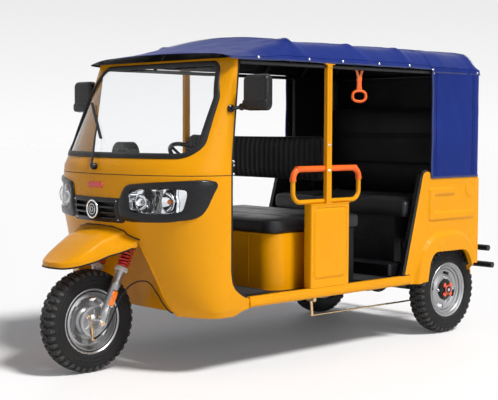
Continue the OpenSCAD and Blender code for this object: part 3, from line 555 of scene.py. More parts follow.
def make_materials():
    paint = Finish("yellow_paint", (0.69, 0.285, 0.0012), 0.3).blotches(0.04, 1.8).uneven_gloss(0.05)
    paint.pitted(420.0, 0.00004).pitted(2.2, 0.0015, strength=0.3)
    paint.coat(0.09, 0.09).set("Coat IOR", 1.45).specular(0.11).worn((0.58, 0.23, 0.003), 0.2)

    steel = Finish("black_steel", (0.008, 0.008, 0.009), 0.42).blotches(0.25, 14.0).uneven_gloss(0.12, 9.0)
    steel.pitted(260.0, 0.00008, 3.0).specular(0.3).worn((0.04, 0.04, 0.04), 0.5)

    plastic = Finish("black_plastic", (0.006, 0.006, 0.0075), 0.28).blotches(0.2, 10.0)
    plastic.uneven_gloss(0.08, 12.0).pitted(700.0, 0.00005).specular(0.3)

    rubber = Finish("rubber", (0.007, 0.007, 0.008), 0.5).blotches(0.25, 20.0).uneven_gloss(0.1, 14.0)
    rubber.pitted(500.0, 0.00008, 3.0).specular(0.25)

    tyre = Finish("tyre", (0.009, 0.009, 0.0105), 0.55).blotches(0.35, 9.0, tint=(0.014, 0.0135, 0.013))
    tyre.uneven_gloss(0.12, 16.0).pitted(320.0, 0.0003, 4.0, rough=0.65).specular(0.16)
    tyre.worn((0.085, 0.082, 0.078), 0.85)

    vinyl = Finish("seat_vinyl", (0.012, 0.012, 0.0145), 0.38).blotches(0.25, 7.0).uneven_gloss(0.1, 5.0)
    vinyl.grain(0.0045, 0.00022).pitted(28.0, 0.0007, 4.0, 0.35).sheen(0.05, 0.4).specular(0.35)

    canvas = Finish("blue_canvas", (0.002, 0.016, 0.155), 0.46).blotches(0.12, 4.0).uneven_gloss(0.08, 3.0)
    canvas.weave(0.0016, 0.00015).pitted(11.0, 0.0035, 5.0, 0.4, 0.55, (1.0, 1.0, 0.5))
    canvas.sheen(0.02, 0.35).specular(0.13).coat(0.03, 0.3)

    orange = Finish("orange_plastic", (0.85, 0.125, 0.01), 0.4).blotches(0.1, 9.0).uneven_gloss(0.1, 20.0)
    orange.pitted(300.0, 0.00012, 3.0).specular(0.3)

    glass = Finish("glass", (0.93, 0.95, 0.955), 0.02).set("Transmission Weight", 1.0).set("IOR", 1.22)
    glass.pitted(1.6, 0.0006, 1.0, 0.2)

    lens = Finish("lamp_glass", (0.95, 0.96, 0.97), 0.03).set("Transmission Weight", 1.0).set("IOR", 1.3)
    lens.pitted(9.0, 0.0008, 2.0, 0.25)

    Finish("mirror", (0.83, 0.85, 0.87), 0.03, 1.0).blotches(0.02, 6.0).pitted(4.0, 0.0003, 1.0, 0.2)

    red = Finish("red_plastic", (0.5, 0.012, 0.012), 0.18).blotches(0.15, 16.0).coat(0.6, 0.05)
    ribs = red.node("ShaderNodeTexWave", [("Vector", red.place), ("Scale", 16.0)], bands_direction="Z")
    red.bump(ribs.outputs["Fac"], 0.0006, 0.6)

    silver = Finish("silver_paint", (0.36, 0.365, 0.375), 0.33, 0.75).blotches(0.08, 12.0)
    silver.uneven_gloss(0.08, 10.0).pitted(500.0, 0.00006).worn((0.6, 0.6, 0.62), 0.5)

    bright = Finish("steel", (0.62, 0.62, 0.64), 0.2, 1.0).blotches(0.08, 18.0)
    bright.uneven_gloss(0.08, 15.0).pitted(900.0, 0.00003)

    coil = Finish("red_paint", (0.62, 0.018, 0.014), 0.28).blotches(0.1, 20.0).uneven_gloss(0.06, 15.0)
    coil.pitted(500.0, 0.00006).coat(0.5, 0.1)

    iron = Finish("cast_iron", (0.2, 0.2, 0.205), 0.55, 0.85).blotches(0.2, 22.0)
    iron.uneven_gloss(0.12, 20.0).pitted(240.0, 0.0004, 4.0)

    zinc = Finish("gold_zinc", (0.72, 0.5, 0.2), 0.3, 1.0).blotches(0.2, 40.0, tint=(0.6, 0.45, 0.34))
    zinc.uneven_gloss(0.1, 30.0).pitted(700.0, 0.00005)

    amber = Finish("amber", (0.9, 0.2, 0.01), 0.16).blotches(0.1, 30.0).coat(0.6, 0.05)
    cells = amber.node("ShaderNodeTexVoronoi", [("Vector", amber.place), ("Scale", 260.0)])
    amber.bump(cells.outputs["Distance"], 0.0004, 0.6)

    nylon = Finish("white_nylon", (0.62, 0.62, 0.6), 0.4).blotches(0.1, 30.0)
    nylon.uneven_gloss(0.08, 30.0).pitted(600.0, 0.00005)

    dark = Finish("dark_vinyl", (0.0045, 0.0045, 0.0055), 0.5).blotches(0.25, 6.0).uneven_gloss(0.1, 5.0)
    dark.grain(0.004, 0.0002).pitted(24.0, 0.0008, 4.0, 0.35).sheen(0.03, 0.4).specular(0.16)

    mat = Finish("floor_mat", (0.012, 0.012, 0.014), 0.55).blotches(0.3, 5.0).uneven_gloss(0.12, 8.0)
    mat.pitted(300.0, 0.0001, 3.0)

    spider = Finish("orange_paint", (0.9, 0.1, 0.035), 0.42).blotches(0.12, 25.0).uneven_gloss(0.08, 20.0)
    spider.pitted(400.0, 0.0001, 3.0)

    webbing = Finish("orange_webbing", (0.62, 0.14, 0.03), 0.7).blotches(0.12, 40.0)
    webbing.weave(0.0014, 0.0003).sheen(0.3, 0.4)

    binding = Finish("blue_binding", (0.006, 0.016, 0.1), 0.5).blotches(0.12, 20.0)
    binding.weave(0.0014, 0.0002).sheen(0.2, 0.4)


def finish_frame():
    """Gives every CAD node its slot's finish."""
    for name, node in frame["nodes"].items():
        for socket in node.material_slots:
            socket.material = MATERIALS[SLOT_OF[name]]


# ---- camera, floor and light ----

CAMERA_PLACE = (4.7154, 4.8984, 1.2789)
# Azimuth, elevation and roll
CAMERA_TURN = (46.63, 3.64, 0.2)
LENS_MM = 83.06
FLOOR_HALF = 60
FLOOR_COLOR = (0.825, 0.826, 0.838, 1)
FLOOR_GLOW = 0.04
SKY_STRENGTH = 0.2
def make_camera():
    """The photograph's camera, as it was solved."""
    data = bpy.data.cameras.new("camera")
    data.lens = LENS_MM
    data.sensor_width = 36
    data.clip_end = 100
    azimuth, elevation, roll = (math.radians(turn) for turn in CAMERA_TURN)
    back = Vector((math.cos(elevation) * math.cos(azimuth), math.cos(elevation) * math.sin(azimuth),
                   math.sin(elevation)))
    right = Vector((0, 0, 1)).cross(back).normalized()
    turn = Matrix((right, back.cross(right), back)).transposed() @ Matrix.Rotation(roll, 3, "Z")
    camera = add_object("camera", data)
    camera.matrix_world = Matrix.Translation(CAMERA_PLACE) @ turn.to_4x4()
    bpy.context.scene.camera = camera


def see_through_rays(tree):
    """1 for what the camera sees directly, in a gloss or through glass."""
    path = tree.nodes.new("ShaderNodeLightPath")
    total = path.outputs["Is Camera Ray"]
    for name in ("Is Glossy Ray", "Is Transmission Ray"):
        total = add_node(tree, "ShaderNodeMath", [(0, total), (1, path.outputs[name])],
                         operation="MAXIMUM").outputs[0]
    return total


def make_floor_stage():
    """A pale floor that keeps the shadow and glows a little."""
    mesh = bpy.data.meshes.new("floor")
    corners = [(-1, -1), (1, -1), (1, 1), (-1, 1)]
    mesh.from_pydata([(x * FLOOR_HALF, y * FLOOR_HALF, 0) for x, y in corners], [], [(0, 1, 2, 3)])
    material = bpy.data.materials.new("floor")
    material.use_nodes = True
    tree = material.node_tree
    bsdf = tree.nodes["Principled BSDF"]
    for socket, value in (("Base Color", FLOOR_COLOR), ("Roughness", 0.6), ("Specular IOR Level", 0.2)):
        bsdf.inputs[socket].default_value = value
    strength = add_node(tree, "ShaderNodeMath", [(0, see_through_rays(tree)), (1, FLOOR_GLOW)],
                        operation="MULTIPLY")
    glow = add_node(tree, "ShaderNodeEmission", [("Color", (0.97, 0.965, 0.97, 1)),
                                                 ("Strength", strength.outputs[0])])
    both = add_node(tree, "ShaderNodeAddShader", [(0, bsdf.outputs[0]), (1, glow.outputs[0])])
    tree.links.new(both.outputs[0], tree.nodes["Material Output"].inputs["Surface"])
    mesh.materials.append(material)
    add_object("floor", mesh)


def make_sky():
    """A dim surround for light, and a pale one that fades upwards for what is seen."""
    world = bpy.data.worlds.new("world")
    world.use_nodes = True
    tree = world.node_tree
    background = tree.nodes["Background"]
    background.inputs["Color"].default_value = (0.9, 0.93, 1.0, 1)
    background.inputs["Strength"].default_value = SKY_STRENGTH
    place = tree.nodes.new("ShaderNodeTexCoord").outputs["Generated"]
    height = add_node(tree, "ShaderNodeSeparateXYZ", [(0, place)]).outputs["Z"]
    ramp = add_node(tree, "ShaderNodeValToRGB", [("Fac", height)])
    set_ramp(ramp, (0.0, (0.975, 0.972, 0.978, 1)), (0.11, (0.84, 0.835, 0.84, 1)))
    seen = add_node(tree, "ShaderNodeBackground", [("Strength", 1.0), ("Color", ramp.outputs["Color"])])
    mixer = add_node(tree, "ShaderNodeMixShader", [(0, see_through_rays(tree)), (1, background.outputs[0]),
                                                   (2, seen.outputs[0])])
    tree.links.new(mixer.outputs[0], tree.nodes["World Output"].inputs["Surface"])
    bpy.context.scene.world = world


def lamp(name, kind, place, target, strength, size, color=(1, 1, 1)):
    """A lamp that points at a target; size is a sun's angle, or an area's two sides."""
    data = bpy.data.lights.new(name, kind)
    data.energy = strength
    data.color = color
    if kind == "SUN":
        data.angle = size
    else:
        data.shape = "RECTANGLE"
        data.size, data.size_y = size
    obj = add_object(name, data)
    obj.location = place
    obj.rotation_euler = (Vector(target) - Vector(place)).to_track_quat("-Z", "Y").to_euler()


def make_lamps():
    lamp("key", "SUN", (-0.5, 4.1, 6.6), (0, 0, 0.9), 3.6, math.radians(13), (1.0, 0.985, 0.96))
    lamp("side_panel", "AREA", (0.5, 6.5, 2.6), (-0.3, 0, 0.8), 84, (5.0, 2.4))
    lamp("front_panel", "AREA", (6.5, -1.5, 2.4), (0.8, 0, 0.9), 8, (3.0, 2.6))


# ---- the cab's skin, as in the CAD ----

NOSE_DEPTHS = [
    (CAB_BOTTOM_Z, 185), (340, 228), (420, 270), (550, 313), (680, 347), (760, 370), (830, 395), (860, 402),
    (980, 392), (BELT_Z - 55, 384), (BELT_Z - 25, 366), (BELT_Z, 352), (ROOF_EDGE_Z, 30),
]
SIDE_INSETS = [(CAB_BOTTOM_Z, 25), (340, 10), (420, 0), (BELT_Z - 55, 0), (BELT_Z, 6), (ROOF_EDGE_Z, 30)]
PILLAR_XS = [(BELT_Z - 55, CAB_X), (BELT_Z, CAB_X - 8), (ROOF_EDGE_Z, CAB_X - 75)]
CORNER_POWERS = [(CAB_BOTTOM_Z, 2.6), (550, 2.3), (680, 2.2), (BELT_Z, 2.2), (ROOF_EDGE_Z, 3)]
FOOT_RUNS = [
    (CAB_BOTTOM_Z, 45), (320, 80), (332, 102), (345, 173), (372, 165), (400, 120), (420, 75), (450, 36),
    (480, 16), (540, 6), (ROOF_EDGE_Z, 6),
]


def softened(z, rows, reach=14):
    """The table's value with its corners rounded off."""
    return sum(table(z + d, rows) for d in (-reach, -reach / 2, 0, reach / 2, reach)) / 5


def nose_depth(z):
    return softened(z, NOSE_DEPTHS)


def side_y(z, grow):
    return HALF_W - table(z, SIDE_INSETS) + grow


def cab_arc(z, grow, steps):
    """Points round the cab at a height, from the right pillar's foot to the left one's."""
    px, depth, power = table(z, PILLAR_XS), nose_depth(z) + grow, 2 / table(z, CORNER_POWERS)
    y = side_y(z, grow)
    foot = px - table(z, FOOT_RUNS)
    out = [(mix(foot, px, k / 4), -y, z) for k in range(4)]
    for i in range(steps + 1):
        t = -math.pi / 2 + math.pi * i / steps
        across = math.copysign(abs(math.sin(t)) ** power, t)
        out.append((px + depth * abs(math.cos(t)) ** power, across * y, z))
    return out + [(mix(px, foot, k / 4), y, z) for k in range(1, 5)]


def on_skin(y, z, grow=0.0):
    """The point of the cab's front at a place seen from ahead."""
    power = table(z, CORNER_POWERS)
    share = min(1.0, abs(y) / side_y(z, grow)) ** (power / 2)
    cos_t = math.sqrt(max(0.0, 1 - share * share))
    return (table(z, PILLAR_XS) + (nose_depth(z) + grow) * cos_t ** (2 / power), y, z)


def levels(low, high, pitch, kinks=()):
    """Heights from low to high, closer than pitch, that include the kinks."""
    marks = sorted({low, high, *(k for k in kinks if low < k < high)})
    out = []
    for a, b in zip(marks, marks[1:]):
        count = max(1, round((b - a) / pitch))
        out += [mix(a, b, k / count) for k in range(count)]
    return out + [high]


def wall(heights, outer, inner, steps=72):
    """The cab's wall between two offsets, as a closed solid."""
    rows = [cab_arc(z, outer, steps) + cab_arc(z, inner, steps)[::-1] for z in heights]
    count = len(rows[0])
    shape = Shape().grid(rows, around=True)
    half = count // 2
    last = (len(rows) - 1) * count
    for j in range(half - 1):
        shape.faces.append((j, j + 1, count - 2 - j, count - 1 - j))
        shape.faces.append(tuple(last + k for k in (count - 1 - j, count - 2 - j, j + 1, j)))
    return shape


def hull_2d(points):
    """Convex outline round points, anticlockwise."""
    points = sorted(set(points))

    def half(run):
        out = []
        for p in run:
            while len(out) > 1 and ((out[-1][0] - out[-2][0]) * (p[1] - out[-2][1])
                                    - (out[-1][1] - out[-2][1]) * (p[0] - out[-2][0])) <= 0:
                out.pop()
            out.append(p)
        return out[:-1]

    return half(points) + half(points[::-1])


def screen_outline():
    """The windscreen's opening in Y and Z."""
    circles = [(468, BELT_Z + 88, 90), (468, BELT_Z + 290, 90), (432, ROOF_EDGE_Z - 102, 84)]
    points = [(s * cy + r * math.cos(a), cz + r * math.sin(a))
              for cy, cz, r in circles for s in (-1, 1) for a in turns(48)]
    return even_outline(hull_2d(points), 220)


ARCH_TOP_Z = 755
ARCH_SIDE_Z = 640
ARCH_HALF = 290


def arch_outline(grow=0.0):
    """The opening round the front wheel in Y and Z, from low right over the top to low left."""
    rise = ARCH_TOP_Z - ARCH_SIDE_Z
    side = [(ARCH_HALF, ARCH_SIDE_Z), (318, 573), (345, 490), (368, 394), (395, CAB_BOTTOM_Z), (400, 280)]
    side = [(y + grow, z) for y, z in side]
    top = [((ARCH_HALF + grow) * math.cos(a), ARCH_SIDE_Z + (rise + grow) * math.sin(a))
           for a in turns(40, 0.0, math.pi)][1:]
    return side[::-1] + top + [(-y, z) for y, z in side]


# Outlines of the left headlamp's bezel and of its clear lens, in Y and Z
BEZEL = [
    (222, 965), (197, 905), (190, 830), (208, 803), (245, 794), (446, 798), (548, 814), (576, 832),
    (590, 870), (598, 920), (608, 985), (604, 1008), (590, 1014), (371, 998), (244, 985),
]
LENS = [
    (252, 935), (265, 852), (376, 839), (501, 847), (520, 862), (532, 930), (531, 958), (515, 966),
    (422, 968), (285, 960), (262, 952),
]
GRILLE_HALF = 186
GRILLE_LOW_Z = 793
GRILLE_HIGH_Z = 907
GRILLE_SLATS = 4

def both_ways(outline):
    """The outline and its mirror image, both anticlockwise."""
    return [outline, [(-u, v) for u, v in outline][::-1]]


def make_cab():
    """Nose and windscreen frame: two pressed shells that meet at a seam."""
    gap = 2
    lower = levels(CAB_BOTTOM_Z, SEAM_Z - gap, 22, (320, 332, 345, 372, 400, 420))
    nose = piece("nose_shell", wall(lower, 0, -CAB_WALL), "yellow_paint", replaces=["nose_panel"])
    cut(nose, along_x(arch_outline(), CAB_X, 300))
    for outline in both_ways(even_outline(rounded_outline(BEZEL, 14), 90)):
        cut(nose, along_x(inset(outline, 4), CAB_X + 60, 300))
    grille = [(-GRILLE_HALF, GRILLE_LOW_Z), (GRILLE_HALF, GRILLE_LOW_Z), (GRILLE_HALF, GRILLE_HIGH_Z),
              (-GRILLE_HALF, GRILLE_HIGH_Z)]
    cut(nose, along_x(grille, CAB_X + 60, 300))
    upper = levels(SEAM_Z + gap, ROOF_EDGE_Z, 26, (BELT_Z - 55, BELT_Z - 25, BELT_Z))
    screen = piece("windscreen_frame", wall(upper, 0, -CAB_WALL), "yellow_paint",
                   replaces=["windscreen_surround"])
    cut(screen, along_x(inset(screen_outline(), 6), -700, 200))

    rows = [cab_arc(z, -3, 72) + cab_arc(z, -10, 72)[::-1] for z in (SEAM_Z - gap, SEAM_Z + gap)]
    piece("nose_seam", Shape().grid(rows, around=True), "rubber")

    path = [on_skin(y, z, -1) for y, z in even_outline(arch_outline(), 160) if z > CAB_BOTTOM_Z + 2]
    # The lip starts after the longest step, where the arch is open at the bottom
    start = max(range(len(path)), key=lambda i: (Vector(path[i]) - Vector(path[i - 1])).length)
    piece("nose_arch_lip", Shape().tube(path[start:] + path[:start], 5, 10), "yellow_paint")

    path = [cab_arc(z, 0, 8)[-1] for z in levels(402, ROOF_EDGE_Z - 14, 12)]
    strip = Shape().sweep([Vector(p) + Vector((-3, -7, 0)) for p in path],
                          [(-8, -5), (8, -5), (8, 5), (-8, 5)], side=(1, 0, 0))
    piece("door_pillar_rubber", strip, "rubber", both=True)


def conform(outline, section):
    """Rows that follow an outline on the cab's front; a section point is (outward, grow)."""
    normals = normals_2d(outline)
    rows = []
    for out, grow in section:
        rows.append([on_skin(p[0] + n.x * out, p[1] + n.y * out, grow) for p, n in zip(outline, normals)])
    return rows


def make_windscreen():
    """The rubber gasket with its locking strip, and the curved glass."""
    outline = screen_outline()
    bead = [(-20, -12), (-22, -4), (-21, 2), (-17, 6), (-10, 8), (-3, 8), (3, 6), (6, 2), (6, -2), (-4, -8),
            (-12, -14)]
    gasket = Shape().grid(conform(outline, bead), around=True, closed=True)
    piece("windscreen_rubber", gasket, "rubber", replaces=["windscreen_gasket"], crease=50)
    groove = [(-12.5, 8.4), (-11, 9.2), (-9, 9.2), (-7.5, 8.4), (-9, 7), (-11, 7)]
    strip = Shape().grid(conform(outline, groove), around=True, closed=True)
    piece("windscreen_locking_strip", strip, "rubber")

    pane = inset(outline, 16)
    count = len(pane)
    middle_z = sum(z for _, z in pane) / count
    rings = [[(y * k / 14, mix(middle_z, z, k / 14)) for y, z in pane] for k in range(1, 15)]
    glass = Shape()
    for grow, turn in ((-6, False), (-11, True)):
        rows = [[on_skin(y, z, grow) for y, z in ring] for ring in rings]
        face = Shape().grid(rows, around=True, flip=turn)
        centre = len(face.verts)
        face.verts.append(on_skin(0, middle_z, grow))
        for j in range(count):
            n = (j + 1) % count
            face.faces.append((centre, n, j) if turn else (centre, j, n))
        glass.join(face)
    glass.grid([[on_skin(y, z, grow) for y, z in pane] for grow in (-6, -11)], around=True)
    piece("windscreen_glass", glass, "glass", replaces=["windscreen"])


def star(outline, centre, angles):
    """Where rays from a centre meet the outline."""
    middle = Vector(centre)
    out = []
    for a in angles:
        d = Vector((math.cos(a), math.sin(a)))
        best = 0.0
        for p, q in zip(outline, [*outline[1:], outline[0]]):
            e = Vector(q) - Vector(p)
            w = Vector(p) - middle
            det = d.y * e.x - d.x * e.y
            if abs(det) < 1e-9:
                continue
            t = (w.y * e.x - w.x * e.y) / det
            s = (d.x * w.y - d.y * w.x) / det
            if t > 0 and -1e-6 <= s <= 1 + 1e-6:
                best = max(best, t)
        out.append(middle + d * best)
    return out


LAMP_MIDDLE = (398, 903)


def lamp_ring(outline, scale, grow):
    """The outline drawn in towards the lamp's middle, on the cab's front."""
    cy, cz = LAMP_MIDDLE
    return [on_skin(cy + (p.x - cy) * scale, cz + (p.y - cz) * scale, grow) for p in outline]


def lamp_bowl(bowls, rims, centre, r, depth):
    """A reflecting bowl with its steel rim; returns the middle of its mouth."""
    base = Vector(on_skin(*centre, -10))
    rows = []
    for k in range(9):
        t = k / 8
        rows.append([base + Vector((-depth * (1 - t * t), r * t * math.cos(a), r * t * math.sin(a)))
                     for a in turns(40)])
    bowls.grid(rows[1:], around=True)
    bowls.grid(rows[:2], around=True)
    rims.tube([base + Vector((0, r * math.cos(a), r * math.sin(a))) for a in turns(48)], 2.6, 8, closed=True)
    return base


def make_headlamps():
    """Raised black bezels with clear lamps: an amber bulb and a silver shade in two bowls, and ribs."""
    angles = turns(96)
    outer = star(rounded_outline(BEZEL, 20), LAMP_MIDDLE, angles)
    lens = star(rounded_outline(LENS, 22), LAMP_MIDDLE, angles)
    bezels, bowls, glasses, bulbs, shades, ribs, rims = (Shape() for _ in range(7))
    profile = [(0, -14), (0, 4), (0.05, 9), (0.14, 12), (0.55, 12), (0.8, 10), (0.93, 6), (1, 0), (1, -20)]
    bezels.grid([[on_skin(mix(o.x, l.x, t), mix(o.y, l.y, t), grow) for o, l in zip(outer, lens)]
                 for t, grow in profile], around=True)
    glasses.grid([lamp_ring(lens, (1 - k / 7) * 0.99, 3 + 4 * (k / 6) ** 0.5) for k in range(7)], around=True)
    glasses.faces.append(tuple(6 * len(lens) + j for j in range(len(lens))))
    deep = ((1.0, -2), (0.985, -20), (0.9, -42), (0.5, -50), (0.02, -50))
    bowls.grid([lamp_ring(lens, scale, grow) for scale, grow in deep], around=True, flip=True)
    left = lamp_bowl(bowls, rims, (452, 902), 48, 34)
    right = lamp_bowl(bowls, rims, (322, 897), 40, 30)
    ball = [(13 * math.cos(a), 13 * math.sin(a)) for a in turns(10, -math.pi / 2, math.pi / 2 + 0.001)]
    for shape, base, x in ((bulbs, left, -14), (shades, right, -12)):
        place = lambda p, b=base, dx=x: b + Vector((p[2] + dx, p[0], p[1]))
        shape.spin([(max(r, 0.01), h) for r, h in ball], 20, place, closed=False)
    for k in range(7):
        y = 372 + k * 5.5
        ribs.tube([on_skin(y - 6, 852, -12), on_skin(y + 8, 955, -12)], 2.4, 8)
    piece("headlamp_surrounds", bezels, "black_plastic", replaces=["headlamp_bezels"], crease=45, both=True)
    piece("headlamp_bowls", bowls, "mirror", replaces=["headlamps"], both=True)
    piece("headlamp_glasses", glasses, "lamp_glass", both=True)
    piece("headlamp_bulbs", bulbs, "amber", both=True)
    piece("headlamp_shades", shades, "silver_paint", both=True)
    piece("headlamp_ribs", ribs, "black_plastic", both=True)
    piece("headlamp_rims", rims, "steel", both=True)


def make_grille():
    """Slatted grille with a plain ringed medallion."""
    back = Shape()
    for i in range(24):
        y0, y1 = mix(-GRILLE_HALF, GRILLE_HALF, i / 24), mix(-GRILLE_HALF, GRILLE_HALF, (i + 1) / 24)
        ring = [[on_skin(y, z, grow) for y in (y0, y1) for z in (GRILLE_LOW_Z, GRILLE_HIGH_Z)]
                for grow in (-20, -14)]
        back.add(ring[0] + ring[1], [(0, 1, 3, 2), (4, 6, 7, 5), (0, 4, 5, 1), (2, 3, 7, 6), (0, 2, 6, 4),
                                     (1, 5, 7, 3)])
    piece("grille_back", back, "black_steel", replaces=["grille"])
    slats = Shape()
    section = [(-9, -14), (-9, 1), (-6, 8), (0, 10), (4.2, 8), (6.3, 2), (6.3, -14)]
    for k in range(GRILLE_SLATS):
        z = mix(GRILLE_LOW_Z + 12, GRILLE_HIGH_Z - 12, k / (GRILLE_SLATS - 1))
        ys = [mix(-GRILLE_HALF + 2, GRILLE_HALF - 2, i / 40) for i in range(41)]
        slats.grid([[on_skin(y, z + dz, grow) for dz, grow in section] for y in ys], around=True, caps=True)
    for y in (3 - GRILLE_HALF, GRILLE_HALF - 3):
        slats.tube([on_skin(y, z, 3) for z in levels(GRILLE_LOW_Z, GRILLE_HIGH_Z, 14.25)], 6, 10)
    piece("grille_slats", slats, "black_plastic")

    centre = Vector(on_skin(0, (GRILLE_LOW_Z + GRILLE_HIGH_Z) / 2, 8))
    place = lambda p: centre + Vector((p[2], p[0], p[1]))
    disc, ring = Shape(), Shape()
    disc.spin([(0.01, -8), (52, -8), (52, 2), (49, 6), (30, 9), (0.01, 10)], 64, place, closed=False)
    for r, h, thick, steps, sides in ((45, 7, 4.2, 11, 64), (26, 9, 1.8, 9, 64), (12, 10, 1.8, 9, 48)):
        ring.spin(arc(r, h, thick, 0, 330, steps), sides, place)
    piece("medallion_disc", disc, "black_plastic")
    piece("medallion_rings", ring, "mirror")

    surround, screws = Shape(), Shape()
    middle = (0, (GRILLE_LOW_Z + GRILLE_HIGH_Z) / 2)
    angles = turns(120)
    outer = star(rounded_rect(-214, GRILLE_LOW_Z - 8, 214, GRILLE_HIGH_Z + 6, 10), middle, angles)
    inner = star(rounded_rect(-166, GRILLE_LOW_Z + 6, 166, GRILLE_HIGH_Z - 8, 16), middle, angles)
    loops = ((outer, -3), (outer, 5), (inner, 7), (inner, -12))
    surround.grid([[on_skin(p.x, p.y, grow) for p in loop] for loop, grow in loops], around=True)
    for y in (-180, 180):
        for z in (GRILLE_LOW_Z + 8, GRILLE_HIGH_Z - 10):
            screws.bolt(on_skin(y, z, 5), (1, 0, 0), 4.5, 5)
    piece("grille_frame", surround, "black_plastic", crease=50)
    piece("grille_screws", screws, "steel")

    outline = rounded_rect(-62, 962, 62, 992, 9)
    rows = [[on_skin(y, z, g) for y, z in inset(outline, d)] for d, g in ((0, -3), (0, 3), (2, 6), (5, 6))]
    piece("nose_badge", Shape().grid(rows, around=True, caps=True), "red_paint")


# ---- front mudguard ----

# Distance ahead of the axle, half width, edge height and top height
GUARD = [
    (232, 26, 562, 593), (229, 52, 562, 594), (222, 76, 562, 597), (208, 98, 562, 603), (188, 120, 565, 615),
    (165, 140, 570, 630), (140, 158, 577, 647), (80, 193, 596, 688), (18, 224, 624, 726),
    (-40, 251, 640, 747), (-46, 254, 643, 751), (-80, 270, 655, 769), (-112, 284, 668, 772),
    (-150, 300, 684, 772),
]
GUARD_LIP = 28


def guard_half(x):
    """Shares of the half width and of the rise at the section's corners, from the lip to the middle."""
    open_up = step_up(190 - x, 0, 190)
    at_tip = [(0.95, 0.34), (0.9, 0.55), (0.62, 0.88)]
    at_cab = [(0.74, 0.44), (0.7, 0.68), (0.42, 0.93)]
    corners = [(mix(a, b, open_up), mix(h, k, open_up)) for (a, h), (b, k) in zip(at_tip, at_cab)]
    return [(1, 0), *corners, (0, 1)]


def guard_row(x, grow):
    """Section of the mudguard at a distance ahead of the axle: an upright lip, a shelf and a flat top."""
    half, low, top = row_at(x, GUARD)
    half, top = half + grow, top + grow
    shoulder = low + GUARD_LIP
    side = []
    corners = guard_half(x)
    for (a0, h0), (a1, h1) in zip(corners, corners[1:]):
        side += [(mix(a0, a1, k / 7), mix(h0, h1, k / 7)) for k in range(7)]
    side.append(corners[-1])
    line = [(-a, h) for a, h in side] + side[:-1][::-1]
    soft = list(line)
    for _ in range(2):
        soft = [soft[0]] + [((p[0] + 2 * q[0] + r[0]) / 4, (p[1] + 2 * q[1] + r[1]) / 4)
                            for p, q, r in zip(soft, soft[1:], soft[2:])] + [soft[-1]]
    out = [(x, -half, low), (x, -half, (low + shoulder) / 2), (x, -half, shoulder - 3)]
    out += [(x, half * a, shoulder + (top - shoulder) * h) for a, h in soft]
    return out + [(x, half, shoulder - 3), (x, half, (low + shoulder) / 2), (x, half, low)]


def make_mudguard():
    """The mudguard's shell, drawn from sections along it and closed at its tip, with its edging and seal."""
    tip, low = GUARD[0][0], GUARD[0][2]
    stations = [mix(-112, 140, k / 26) for k in range(26)]
    stations += [mix(140, tip, (k / 16) ** 0.8) for k in range(17)]
    rows = [guard_row(x, -1) for x in stations]
    for t in (0.5, 1):
        rows.append([(tip + 3 * t, y * (1 - 0.9 * t), mix(z, low + (z - low) * (1 - 0.3 * t), t))
                     for _, y, z in guard_row(tip, -1)])
    guard = piece("front_mudguard_shell", Shape().grid(rows), "yellow_paint",
                  replaces=["front_mudguard"], crease=50)
    modify(guard, "SOLIDIFY", thickness=0.005, offset=-1)
    core = Shape().grid([cab_arc(z, 2.5, 60) for z in levels(500, SEAM_Z, 20)], around=True, caps=True)
    cut(guard, core, crease=50)

    edge, bead = Shape(), Shape()
    for side in (0, -1):
        path = [row[side] for row in rows if row[side][0] > -96]
        edge.tube([(x, y, z + 2) for x, y, z in path], 4.2, 10)
    piece("mudguard_edging", edge, "rubber")

    path = []
    for k in range(61):
        y = -285 * math.cos(math.pi * k / 60)
        for step in range(560):
            z = 640 + step / 4
            x, _, _ = on_skin(y, z, 3)
            half, low, top = row_at(x, GUARD)
            corners = guard_half(x)[::-1]
            share = float(np.interp(abs(y) / half, [c[0] for c in corners], [c[1] for c in corners]))
            if low + GUARD_LIP + (top - low - GUARD_LIP) * share <= z:
                path.append(on_skin(y, z, 2))
                break
    bead.tube(path, 3.5, 8)
    piece("mudguard_seal", bead, "rubber")


# ---- front wheel and fork ----

# Radius and half width of the carcass
TYRE_PROFILE = [
    (153, 44), (168.3, 44.5), (172, 50), (178, 54.5), (188, 56.5), (200, 57), (218, 56.5), (232, 55),
    (244, 52), (252, 48.5), (257, 43), (260, 30), (261, 14), (261.5, 0),
]
TREAD_R = 268.6
LUG_COUNT = 40
# Outlines of the tread's blocks: share of a block's turn, and distance from the tyre's middle
OUTER_LUG = [(0.10, 21), (0.62, 17), (0.78, 33), (0.70, 50), (0.2, 53), (0.06, 37)]
INNER_LUG = [(0.16, 1.5), (0.74, 3.5), (0.86, 13), (0.66, 15), (0.2, 19), (0.02, 9)]
# Block on the shoulder: share of a block's turn, and share of the way down the side
SIDE_LUG = [(0.22, 0), (0.66, 0), (0.62, 1), (0.26, 1)]


def wheel_place(x, y, side):
    """Maps a wheel's own frame, with its axis along the third value, outwards, to the vehicle's."""
    return lambda p: Vector((x + p[0], y + side * p[2], TYRE_R + p[1]))


def lug(low, high, points):
    """One tread block: its outline in angle and width, raised from the carcass, with sloping sides."""
    centre_a = sum(p[0] for p in points) / len(points)
    centre_w = sum(p[1] for p in points) / len(points)
    rows = []
    for lift, spread in ((low, 1.0), (high - 1.2, 0.93), (high, 0.84)):
        row = []
        for a, w in points:
            a, w = mix(centre_a, a, spread), mix(centre_w, w, spread)
            r = lift - 10.5 * (abs(w) / 52) ** 3.2
            row.append((r * math.cos(a), r * math.sin(a), w))
        rows.append(row)
    return Shape().grid(rows, around=True, caps=True)


